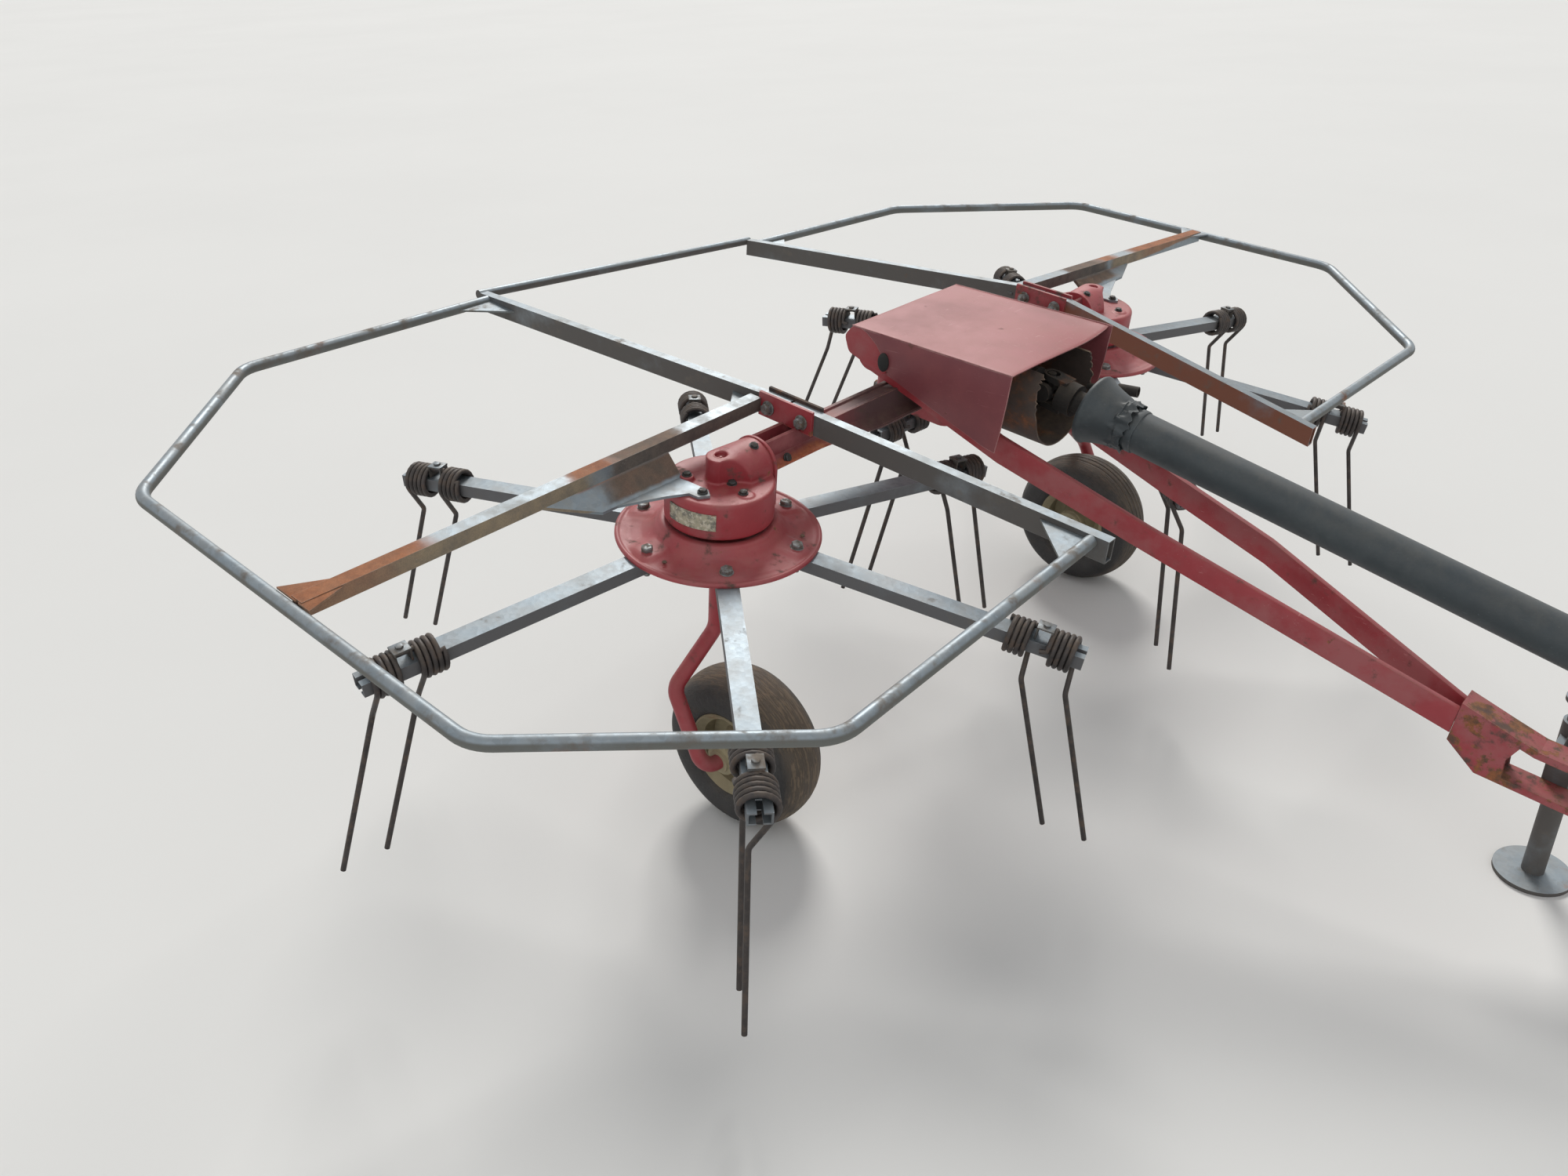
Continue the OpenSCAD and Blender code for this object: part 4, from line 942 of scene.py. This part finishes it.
class TEDDER_OT_discs(bpy.types.Operator):
    """Presses the dished discs, with a raised seat over each arm"""
    bl_idname = "tedder.discs"
    bl_label = "Rotor discs"

    def execute(self, context):
        def sloped(*points):
            """(radius, rise over the flange) in millimetres, or over the flange at a third number."""
            return [(r / 1000, flange((at or [r])[0] / 1000) + rise / 1000) for r, rise, *at in points]

        outline = mm((64, 12), (76, 15), (86, 22.5), (93, 25.8), (100, 26.2), (104, 25.8), (106.2, 24.2), (108, 21.2),
                     (110.5, 18.6), (113.8, 15.8), (116.5, 12.4), (119.5, 8.8), (123, 5.8), (128, 3.4))
        outline += sloped((135, 0), (140, 0), (145, 0), (150, 0), (155, 0), (160, 0), (165, 0), (170, 0), (174, 0),
                          (176.5, 1), (178.5, 2.6), (180.5, 3.2), (183, 2.8), (184.8, 0.8), (185, -1.8), (184.2, -4),
                          (180, -3.6), (174, -4), (168, -4), (160, -4), (150, -4), (142, -4), (134, -4))
        outline += mm((121.5, 1.5), (112, 12), (103.5, 20.5), (93, 21.6), (82, 15), (74, 9), (55, 8.2))
        outline += sloped((55, -28.7), (126, -28.7), (126.8, -33, 126), (126, -35.7), (64, -35.7, 63),
                          (58.5, -40, 56), (55, -42.7), (21, -42.7))
        outline += mm((21, 60), (38, 60), (38, 12))
        master = turned("disc", outline, 144, closed=True)
        for side in SIDES:
            def press(at, first=radians(FIRST_ARM[side]), seed=3.0 if side == "left" else 0.0):
                radius = hypot(at.x, at.y)
                if at.z < flange(radius) - 0.006 or not 0.118 < radius < 0.176:
                    return at
                off = (atan2(at.y, at.x) - first) % (pi / 3)
                off = min(off, pi / 3 - off) * radius
                seat = clamp((0.031 - off) / 0.009)
                along = clamp(min((radius - 0.118) / 0.008, (0.174 - radius) / 0.010))
                pocket = clamp((off - 0.036) / 0.010) * clamp(min((radius - 0.130) / 0.008, (0.168 - radius) / 0.008))
                dent = noise.noise(Vector((at.x, at.y, seed)) * 14) * 0.0014
                return at + Vector((0, 0, (0.0038 * eased(seat) + dent) * along - 0.0022 * eased(pocket)))

            disc = put(push(twin_of(master), press), rotor(side))
            done(disc, "disc_pressing_" + side, "rotor_" + side, "Pressed disc red", ["disc_" + side], 40)
        drop(master)
        return {"FINISHED"}


class TEDDER_OT_heads(bpy.types.Operator):
    """Casts the gear heads, with the scooped bevel housing and its plug"""
    bl_idname = "tedder.heads"
    bl_label = "Gear heads"

    def casting(self):
        plug_at = shifted(-0.002, 0.002, 0)
        body = turned("head", mm((0, 31.5), (94, 31.5), (97.5, 35), (97.5, 94.5), (96, 98.5), (92, 100), (0, 100)), 96)
        boss = drum("boss", 0.0262, 0.050, (-0.002, 0.002, 0.0940), 48)
        barrel = put(drum("barrel", 0.0470, 0.058, sides=72), shifted(0.002, 0.086, 0.103) @ spun(90, "X"))
        hump = join(boss, barrel)
        shape(hump)
        bpy.ops.mesh.convex_hull()
        let_go()
        close_up(hump, 0.0001)
        cut(hump, drum("scoop", 0.0620, 0.080, (0.0755, -0.0300, 0.0990), 96))
        cut(body, hump, "UNION")
        cut(body, drum("ear", 0.013, 0.010, (-0.039, -0.043, 0.098), 32, 0.001), "UNION")
        cut(body, drum("cover seat", 0.014, 0.004, (0.071, -0.010, 0.0985), 32, 0.001), "UNION")
        cut(body, drum("plug bore", 0.0107, 0.020, (-0.002, 0.002, 0.1385), 40))
        cut(body, drum("spigot bore", 0.0383, 0.050, (0, 0, 0.010), 64))
        alter(body, "REMESH", mode="VOXEL", voxel_size=0.0018, use_smooth_shade=True)
        alter(body, "SMOOTH", factor=0.5, iterations=5)
        ring = turned("plug ring", mm((10.5, 140.5), (10.5, 144.8), (11.5, 145.8), (13.8, 145.8), (14.8, 144.6),
                                      (15.2, 140.5)), 48, closed=True)
        plug = turned("plug", mm((0, 142.2), (2.2, 142.2), (2.6, 140.4), (8.5, 139.8), (10.6, 139)), 40)
        outline = mm((-49, 36), (53, 36))
        outline += [(0.002 + 0.0510 * cos(pi * k / 40), 0.103 + 0.0490 * sin(pi * k / 40)) for k in range(41)]
        face = put(sheet_plate("end flange", outline, 0.0060, 0.0010), upended(0.0850))
        return join(body, put(ring, plug_at), put(plug, plug_at), face)

    def label(self):
        """The bare plate on the drum's front, and its border."""
        bottom, height = 0.0517, 0.0305
        arc = [radians(-105 + 55 * k / 24) for k in range(25)]
        plate = line("plate", [(0.0979 * cos(a), 0.0979 * sin(a), bottom) for a in arc])
        shape(plate)
        bpy.ops.mesh.extrude_region_move(TRANSFORM_OT_translate={"value": (0, 0, height)})
        let_go()
        alter(plate, "SOLIDIFY", thickness=0.0008, offset=0)
        close_up(plate, 0.000001)
        round_it = [(a, 0.0818) for a in arc] + [(a, 0.0521) for a in reversed(arc)]
        return plate, line("plate rim", [(0.0986 * cos(a), 0.0986 * sin(a), z) for a, z in round_it], closed=True,
                           thick=0.0016, sides=1)

    def execute(self, context):
        casting = self.casting()
        for side in SIDES:
            done(put(twin_of(casting), rotor(side)), "head_casting_" + side, "frame", "Cast red",
                 ["head_" + side], 50)
            if side == "right":
                for piece, name in zip(self.label(), ("bare_plate_", "plate_border_")):
                    done(put(piece, rotor(side)), name + side, "frame", "Bare worn plate", (), 50)
        drop(casting)
        return {"FINISHED"}


class TEDDER_OT_fasteners(bpy.types.Operator):
    """Sets the bolts, washers and nuts of the discs, heads, brackets and gearbox"""
    bl_idname = "tedder.fasteners"
    bl_label = "Fasteners"

    def on_disc(self, side):
        """Places of the disc's bolt heads above, its nuts below and its rivets."""
        at, spin = rotor(side), radians(FIRST_ARM[side])
        heads, nuts = [], []
        for i in range(ARMS):
            angle = spin + radians(60 * i)
            for radius, places, height, way in ((BOLT_CIRCLE, heads, 0.0022, 1), (BOLT_CIRCLE, nuts, -0.0287, -1),
                                                (HUB_CIRCLE, nuts, -0.0330, -1)):
                rise = height + (flange(radius) if way < 0 else 0)
                places.append(at @ aim((radius * cos(angle), radius * sin(angle), rise),
                                       (0.096 * cos(angle), 0.096 * sin(angle), way), 13 * i))
        turns = [spin + radians(60 * i + 17) for i in range(0, ARMS, 2)]
        return heads, nuts, [at @ shifted(BOLT_CIRCLE * cos(a), BOLT_CIRCLE * sin(a), 0.0002) for a in turns]

    def execute(self, context):
        flats = sizes().bolt
        for side in SIDES:
            heads, nuts, rivets = self.on_disc(side)
            stain = turned("stain", mm((11.8, 0), (11.8, 0.6), (15.8, 0.4), (16.6, 0)), 32, closed=True)
            covers = [rotor(side) @ aim(place, way, roll) for place, way, roll in (
                ((0.016, 0.066, 0.1462), (0.30, 0, 0.94), 8), ((0.020, -0.064, 0.1060), (0, 0, 1), 20),
                ((0.066, -0.012, 0.1020), (0, 0, 1), 30), ((-0.039, -0.043, 0.1075), (0, 0, 1), 12),
                ((0.026, 0.002, 0.1000), (0.2, -0.2, 1), 0), ((0.036, 0.134, 0.1080), (0.9, 0, 0.4), 0))]
            outer, inner = ([half(side) @ aim((x, y, 0.1543), (0, way, 0), roll) for x in (-0.060, 0.020)]
                            for y, way, roll in ((-0.4523, -1, 10), (-0.4197, 1, 25)))
            turning = "rotor_" + side
            for bolt, places, name, body, slot, coat in (
                    (hex_bolt(flats, 0.0070, 0.025), heads, "disc_bolts_", turning, "galvanised", "Dull bolts"),
                    (stain, heads, "disc_bolt_stains_", turning, "rusted_steel", "Dark bolts"),
                    (hex_bolt(flats, 0.0095, 0.026, 0.006), nuts, "disc_nuts_", turning, "galvanised", "Dull bolts"),
                    (hex_bolt(0.008, 0.0022), rivets, "disc_plugs_", turning, "rusted_steel", "Rusted shield"),
                    (hex_bolt(0.013, 0.0035, 0.018), covers, "head_bolts_", "frame", "galvanised", "Dark bolts"),
                    (hex_bolt(0.019, 0.009, 0.028), outer, "bracket_bolts_", "frame", "galvanised", "Dull bolts"),
                    (hex_bolt(0.019, 0.01, 0.028, 0.007), inner, "bracket_nuts_", "frame", "galvanised", "Dull bolts")):
                done(copies(bolt, places), name + side, body, coat)
        ring = []
        for i in range(6):
            angle = radians(30 + 60 * i)
            ring.append(MACHINE @ aim((0.111, 0.053 * cos(angle), INPUT_Z + 0.053 * sin(angle)), (1, 0, 0), 12 * i))
        ring += [MACHINE @ aim((way * 0.095, y, z), (way, 0, 0), 9)
                 for y in (-0.062, 0.062) for z in (0.072, 0.185) for way in (-1, 1)]
        done(copies(hex_bolt(0.015, 0.007, 0.020), ring), "gearbox_bolts", "frame", "Dull bolts")
        return {"FINISHED"}


class TEDDER_OT_hood(bpy.types.Operator):
    """Folds the hood's thin sheets, with the sag of its front edge"""
    bl_idname = "tedder.hood"
    bl_label = "Hood"

    def sheet(self, name, corners, cells, bend):
        """A thin sheet between four corners, pushed by bend(u, v)."""
        let_go()
        bpy.ops.mesh.primitive_grid_add(x_subdivisions=cells, y_subdivisions=cells, size=1)
        piece = bpy.context.object
        piece.name = name
        a, b, c, d = (Vector(p) for p in corners)

        def laid(at):
            u, v = at.x + 0.5, at.y + 0.5
            return a.lerp(b, u).lerp(d.lerp(c, u), v) + bend(u, v)

        push(piece, laid)
        alter(piece, "SOLIDIFY", thickness=0.0026, offset=0)
        return close_up(broken(piece, 0.0007, 50), 0.000001)

    def panel(self, side):
        """One hanging side, leaning inwards to the front, with the fold along its top."""
        outline = mm((-77, 234.3), (-58, 229), (-44, 221), (-30, 211), (-19, 199), (-10, 186), (-2, 170), (4, 159))
        outline += [(0.004 + 0.236 * k / 8, 0.1590 - 0.0640 * k / 8) for k in range(1, 9)]
        outline += mm((268, 91.5), (273.5, 140), (277.5, 195), (280, 250))
        outline += [(0.280 - 0.357 * k / 10, 0.2500 - 0.0157 * k / 10) for k in range(1, 10)]

        def warp(at, seed=4.0 if side == "left" else 0.0):
            wave = 0.0014 * noise.noise(Vector((at.x * 12, at.z * 9, seed)))
            return at + Vector((0, 0.0004 - 0.0190 * (at.x - 0.004) + wave * 0.6, 0))

        sheet = push(put(sheet_plate("side", outline, 0.0026, 0.0007), upended(-0.1782)), warp)
        return join(sheet, line("fold", mm((-92, -175.6, 233.6), (280, -182.9, 250.1)), thick=0.0030, sides=2))

    def execute(self, context):
        sag = sizes().sag

        def crown(u, v):
            # u runs forward and v to the left
            lean = sin(pi * v ** 2.2) ** 0.75 if 0 < v < 1 else 0.0
            hang = -sag * u ** 5 * lean
            ripple = 0.0014 * noise.noise(Vector((u * 2.6, v * 2.2, 0.4))) * (1 - (2 * v - 1) ** 4)
            return Vector((0, 0, hang + ripple - 0.0012 - 0.0006 * u))

        corners = mm((-92, -176, 234), (280, -183, 250.5), (272, 183, 250), (-92, 176, 234))
        top = put(self.sheet("hood top", corners, 40, crown), MACHINE)
        done(top, "hood_top_sheet", "frame", "Hood red", ["hood_top"], 30)
        bar_end = mm((-40, 232.5, 0), (-92, 232.5, 0), (-111, 208, 0), (-98, 176, 0), (-23, 156, 0), (0, 150, 0),
                     (0, 180, 0))
        for side in SIDES:
            done(put(self.panel(side), half(side)), "hood_panel_" + side, "frame", "Hood red",
                 ["hood_" + side], 30)
            end = sheet_plate("bar end", [(p.x, p.y) for p in bent(bar_end, 0.016, 5)], 0.0060, 0.0012)
            put(end, half(side) @ upended(-0.1745))
            done(end, "drawbar_round_end_" + side, "frame", "Drawbar red", (), 30)
            plug = turned("pivot plug", mm((0, 6.2), (7, 6.2), (10, 5), (12.2, 2.6), (12.2, 0)), 32)
            put(plug, half(side) @ aim((-0.008, -0.1772, 0.183), (0, -1, 0)) @ Matrix.Diagonal((1.05, 1.55, 1, 1)))
            done(plug, "pivot_plug_" + side, "frame", "Black plug", (), 40)
        return {"FINISHED"}


class TEDDER_OT_drawbar(bpy.types.Operator):
    """Cuts the two flat drawbar arms, slimmer ahead of the hood"""
    bl_idname = "tedder.drawbar"
    bl_label = "Drawbar"

    def execute(self, context):
        yaw = atan2(0.143, 1.172)
        for side in SIDES:
            top = [((x + 44) / 1000 / cos(yaw), z / 1000) for x, z in BAR_TOP[side]]
            low = [(x, z - next(depth for end, depth in BAR_DEPTHS if x < end)) for x, z in reversed(top)]
            end = [(0.033 * cos(radians(a)), 0.183 + 0.033 * sin(radians(a))) for a in range(-110, -251, -10)]
            bar = sheet_plate("bar", top + low + end, 0.012, 0.0012)
            put(bar, half(side) @ shifted(-0.044, -0.162, 0) @ Matrix.Rotation(yaw, 4, "Z") @ spun(90, "X")
                @ shifted(0, 0, -0.006))
            done(bar, "drawbar_arm_" + side, "frame", "Drawbar red", ["drawbar_" + side], 30)
        return {"FINISHED"}


class TEDDER_OT_beam(bpy.types.Operator):
    """Casts the trough-shaped cross beam with its ridges and lower flanges"""
    bl_idname = "tedder.beam"
    bl_label = "Cross beam"

    def execute(self, context):
        near = mm((0, 124), (10, 125), (13, 144), (16.5, 146.5), (20, 144), (24, 114), (30, 108.5), (44, 104),
                  (46, 101.5), (44, 98.5), (10, 97.5))
        section = near + [(-x, z) for x, z in reversed(near[1:])]
        stations = [-0.0900 - 0.0163 * k for k in range(28)] + [-0.5480, -0.5520]
        ridge, trough = 0.1465, 0.1290

        def flare(at):
            out = -at.y
            blend = clamp((0.420 - out) / 0.190) ** 1.3
            rise = (ridge - at.z) / 0.049
            if at.z > 0.1180 and abs(at.x) < 0.012:
                at.z += (trough - at.z) * min(1.0, blend * 3)
            elif out < 0.460 and at.z > 0.133:
                at.z = 0.133 - 0.10 * (ridge - at.z)
            if rise > 0.15 and abs(at.x) > 0.012 or rise > 0.9:
                at.z -= 0.020 * blend * min(1.0, rise)
            return at

        for side in SIDES:
            beam = put(push(drawn_out("beam", section, stations), flare), half(side))
            done(beam, "beam_casting_" + side, "frame", "Beam casting red", ["beam_" + side], 32)
        return {"FINISHED"}


class TEDDER_OT_shield(bpy.types.Operator):
    """Tears the front edge of the round joint shield"""
    bl_idname = "tedder.shield"
    bl_label = "Joint shield"

    def execute(self, context):
        outline = mm((40, 1.5), (70, 1.2), (96, 1.8), (101, 3.8), (102.5, 8))
        outline += [(0.1025, 0.008 + 0.0089 * k) for k in range(1, 21)]
        torn_from, torn_length = 0.11, 0.076

        def tear(at):
            if at.z < torn_from:
                return at + Vector((at.x, at.y, 0)) * 0.012 * noise.noise(at * 16)
            angle = atan2(at.y, -at.x)
            reach = (at.z - torn_from) / torn_length
            spot = Vector((cos(angle) * 2.2, sin(angle) * 2.2, 1.7))
            jag = noise.noise(spot * 5.0) * 0.9 + noise.noise(spot * 13.0) * 0.5 + noise.noise(spot * 31.0) * 0.25
            lower = clamp(0.60 - 1.5 * cos(angle))
            edge = ((-0.008 + sizes().torn * jag) * (1 - lower) + 0.0015 * lower) * reach ** 3
            buckle = 0.016 * noise.noise(at * 22) * reach * (1 - 0.7 * lower)
            return Vector((at.x * (1 + buckle), at.y * (1 + buckle), at.z + edge))

        shell = push(turned("shield", outline, 180), tear)
        put(shell, MACHINE @ shifted(0.1113, 0, INPUT_Z) @ spun(90, "Y"))
        shape(shell)
        bpy.ops.mesh.bisect(plane_co=MACHINE @ Vector((0.2, 0, 0.2300)), plane_no=MACHINE.to_3x3()
                            @ Vector((0.03, 0, 1)),
                            clear_outer=True)
        let_go()
        alter(shell, "SOLIDIFY", thickness=0.0028, offset=0)
        done(shell, "joint_shield_shell", "frame", "Rusted shield", ["joint_shield"], 40)
        stub = line("stub", mm((352, 108, 163), (392, 114, 167)), thick=0.021, sides=6)
        cut(stub, put(drum("stub bore", 0.0078, 0.030, sides=24), aim((0.3700, 0.1107, 0.1648), (0.040, 0.006, 0.004))))
        stay = line("stay", mm((290, 101, 150), (325, 106, 158), (356, 108.5, 163.4)), thick=0.012, sides=4)
        latch = put(join(stub, stay), MACHINE)
        done(latch, "shield_latch_tube", "frame", "Joint steel", (), 40)
        return {"FINISHED"}


class TEDDER_OT_shaft_guards(bpy.types.Operator):
    """Moulds the shaft guard's cones, with the crumpled collar at the rear one"""
    bl_idname = "tedder.shaft_guards"
    bl_label = "Shaft guards"

    def execute(self, context):
        outline = mm((61, 0), (65, -1.2), (67.2, 2.8), (67, 6.5), (64.8, 9), (62.5, 14), (59.5, 22), (56.5, 31),
                     (53.8, 40), (51.5, 49), (49.5, 56), (48, 60), (46.8, 62), (46.8, 67), (44.8, 69), (45.5, 74),
                     (44.2, 78), (45.2, 83), (44.4, 89), (43.4, 89), (40.5, 85), (40.5, 64), (44, 58), (48, 47),
                     (53, 31), (58.5, 14))
        for name, place, crumple in (
                ("guard_cone_rear", SHAFT @ shifted(0, 0, 0.096), 1.0),
                ("guard_cone_front", SHAFT @ shifted(0, 0, SHAFT_LENGTH - 0.020) @ spun(180, "X"), 0.15)):
            def crush(at, crumple=crumple):
                far = clamp((at.z - 0.052) / 0.014)
                angle, radius = atan2(at.y, at.x), hypot(at.x, at.y)
                spot = Vector((cos(angle), sin(angle), at.z * 22))
                fold = noise.noise(spot * 2.6) * 0.0105 + noise.noise(spot * 7.5) * 0.0035
                out = max(-0.0008, fold) * far * crumple
                frill = noise.noise(spot * 5.0 + Vector((0, 0, 9))) * 0.012 * crumple * max(0.0, (at.z - 0.077) / 0.012)
                wave = 0.0012 * sin(angle * 3 + 0.6) * (1 - far)
                grow = (radius + out + wave) / radius
                return Vector((at.x * grow, at.y * grow, at.z + frill))

            cone = put(push(turned("cone", outline, 120, closed=True), crush), place)
            done(cone, name + "_moulding", "frame", "Shaft guard plastic", [name], 40)
        rings = [SHAFT @ shifted(0, 0, z) for z in (0.188, SHAFT_LENGTH - 0.124)]
        ring = turned("ring", mm((39.2, 0), (41.2, 0.8), (41.8, 3), (41.8, 11), (41.2, 13.2), (39.2, 14)), 72,
                      closed=True)
        done(copies(ring, rings), "guard_bearing_rings", "frame", "Shaft guard plastic", (), 40)
        return {"FINISHED"}


class TEDDER_OT_wheels(bpy.types.Operator):
    """Moulds the bald tyres and sets the hub caps and axle nuts"""
    bl_idname = "tedder.wheels"
    bl_label = "Wheels"

    def tyre(self, worn):
        wall = mm((79.5, 34), (82, 40), (85.8, 47), (90, 53), (98, 59), (106, 62), (115, 63.4), (123, 64), (132, 63),
                  (139.5, 60), (146, 55), (152, 47.5), (156.8, 39), (160.2, 30))
        crown = []
        for k in range(27):
            y = 0.0270 - 0.054 * k / 26
            groove = max(0.0, 1 - min(abs(y - g) for g in (-0.021, -0.007, 0.007, 0.021)) / 0.0026)
            depth = sizes().groove * worn * min(1.0, 1.6 * groove)
            crown.append((TYRE_RADIUS - 0.0036 * (y / 0.027) ** 2 - depth, y))
        outline = wall + crown + [(r, -y) for r, y in reversed(wall)] + mm((83, -30), (81, 0), (83, 30))
        return turned("tyre", outline, sizes().turns, closed=True)

    def execute(self, context):
        for side, worn, inward in (("right", 0.35, 1), ("left", 1.0, -1)):
            hub = Matrix.Translation(WHEEL_AT[side])
            done(put(self.tyre(worn), hub @ spun(-90, "X")), "tyre_rubber_" + side, "wheel_" + side,
                 side.title() + " tyre rubber", ["tyre_" + side], 35)
            cap = turned("cap", mm((13.5, 46), (33, 46), (34.5, 48), (34.5, 56), (32.5, 58.5), (32.5, 61), (34, 62.5),
                                   (34, 66), (32.2, 69), (24, 70.5), (23, 76), (13.5, 76.2)), 60, closed=True)
            caps = copies(cap, [hub @ aim((0, 0, 0), (0, way, 0)) for way in (-1, 1)])
            done(caps, "hub_caps_" + side, "wheel_" + side, "Rusted rim", (), 35)
            nut = put(hex_bolt(0.030, 0.014, 0.036, 0.006), hub @ aim((0, inward * 0.078, 0), (0, inward, 0)))
            done(nut, "axle_nut_" + side, "frame", "Dull bolts")
        return {"FINISHED"}


class TEDDER_OT_guards(bpy.types.Operator):
    """Adds the outer gussets of the crop guards"""
    bl_idname = "tedder.guards"
    bl_label = "Crop guards"

    def execute(self, context):
        for side, height in (("right", 0.1392), ("left", 0.0942)):
            plate = sheet_plate("gusset", mm((-106, -1322), (-77, -1322), (-56, -1387.5), (-85, -1387.5),
                                             (-88, -1351.5), (-91, -1387.5), (-140, -1387.5)), 0.004)
            corner = sheet_plate("corner", mm((-160, -440), (-95, -422), (-95, -470), (-115, -498)), 0.0045)
            put(corner, half(side) @ shifted(0, 0, 0.1500))
            done(corner, "corner_gusset_" + side, "frame", "Rail zinc", (), 30)
            tilt = atan2(0.156 - height, 0.94)
            put(plate, half(side) @ shifted(0, -1.3915, height + 0.0070) @ Matrix.Rotation(tilt * 0.6, 4, "X")
                @ shifted(0, 1.3915, 0))
            done(plate, "outrigger_gusset_" + side, "frame", "Right outrigger", (), 30)
        return {"FINISHED"}


class TEDDER_OT_stage(bpy.types.Operator):
    """Lays the pale floor, sets the soft light and the camera"""
    bl_idname = "tedder.stage"
    bl_label = "Floor, light and camera"

    def execute(self, context):
        let_go()
        bpy.ops.mesh.primitive_plane_add(size=160, location=(0, 0, 0))
        floor = bpy.context.object
        floor.name = "pale_floor"
        coat = Finish("Pale floor", (0.80, 0.80, 0.785), 0.9)
        coat.vary(0.4, 0.985, 1.015)
        floor.data.materials.append(coat.wired())

        world = bpy.data.worlds.new("Soft room")
        context.scene.world = world
        world.use_nodes = True
        net = Net(world.node_tree)
        sight = net.node("LightPath").outputs
        seen = net.maths("MAXIMUM", net.maths("MAXIMUM", sight["Is Camera Ray"], sight["Is Glossy Ray"]),
                         sight["Is Transmission Ray"])
        air = net.tree.nodes["Background"]
        air.inputs["Color"].default_value = (0.98, 0.99, 1.0, 1)
        net.link(net.maths("MULTIPLY_ADD", seen, 0.56, 0.44), air.inputs["Strength"])

        for name, turn, strength, spread, colour in (("key", (48, 0, 218), 2.0, 20, (1.0, 0.975, 0.94)),
                                                     ("fill", (50, 0, 20), 0.30, 60, (0.95, 0.98, 1.0))):
            lamp = bpy.data.lights.new(name, "SUN")
            lamp.energy = strength
            lamp.angle = radians(spread)
            lamp.color = colour
            holder = bpy.data.objects.new(name, lamp)
            holder.rotation_euler = [radians(a) for a in turn]
            context.collection.objects.link(holder)

        camera = bpy.data.objects.new("camera", bpy.data.cameras.new("camera"))
        camera.data.lens = 28.879
        camera.data.sensor_fit = "HORIZONTAL"
        camera.data.sensor_width = 36
        camera.data.clip_end = 300
        camera.location = (1.16732, -2.05079, 1.59645)
        camera.rotation_euler = [radians(a) for a in (61.3363, 2.1965, 41.4716)]
        context.collection.objects.link(camera)
        context.scene.camera = camera
        context.scene.view_settings.view_transform = "Standard"
        return {"FINISHED"}


class TEDDER_PT_panel(bpy.types.Panel):
    """Lists the tedder's sizes, colours and building steps"""
    bl_label = "Hay tedder"
    bl_idname = "TEDDER_PT_panel"
    bl_space_type = "VIEW_3D"
    bl_region_type = "UI"
    bl_category = "Tedder"

    def draw(self, context):
        for group in (sizes(), colours()):
            for name in group.__annotations__:
                self.layout.prop(group, name)
        for step in STEPS:
            self.layout.operator(step.bl_idname)


STEPS = (TEDDER_OT_finishes, TEDDER_OT_tines, TEDDER_OT_discs, TEDDER_OT_heads, TEDDER_OT_fasteners, TEDDER_OT_hood,
         TEDDER_OT_drawbar, TEDDER_OT_beam, TEDDER_OT_shield, TEDDER_OT_shaft_guards, TEDDER_OT_wheels,
         TEDDER_OT_guards, TEDDER_OT_stage)


def register():
    for item in (TedderSizes, TedderColours, *STEPS, TEDDER_PT_panel):
        bpy.utils.register_class(item)
    bpy.types.Scene.tedder_sizes = PointerProperty(type=TedderSizes)
    bpy.types.Scene.tedder_colours = PointerProperty(type=TedderColours)


def unregister():
    del bpy.types.Scene.tedder_colours
    del bpy.types.Scene.tedder_sizes
    for item in (TEDDER_PT_panel, *reversed(STEPS), TedderColours, TedderSizes):
        bpy.utils.unregister_class(item)


def main():
    register()
    bpy.ops.tedder.finishes()
    bpy.ops.tedder.tines()
    bpy.ops.tedder.discs()
    bpy.ops.tedder.heads()
    bpy.ops.tedder.fasteners()
    bpy.ops.tedder.hood()
    bpy.ops.tedder.drawbar()
    bpy.ops.tedder.beam()
    bpy.ops.tedder.shield()
    bpy.ops.tedder.shaft_guards()
    bpy.ops.tedder.wheels()
    bpy.ops.tedder.guards()
    bpy.ops.tedder.stage()


if __name__ == "__main__":
    main()
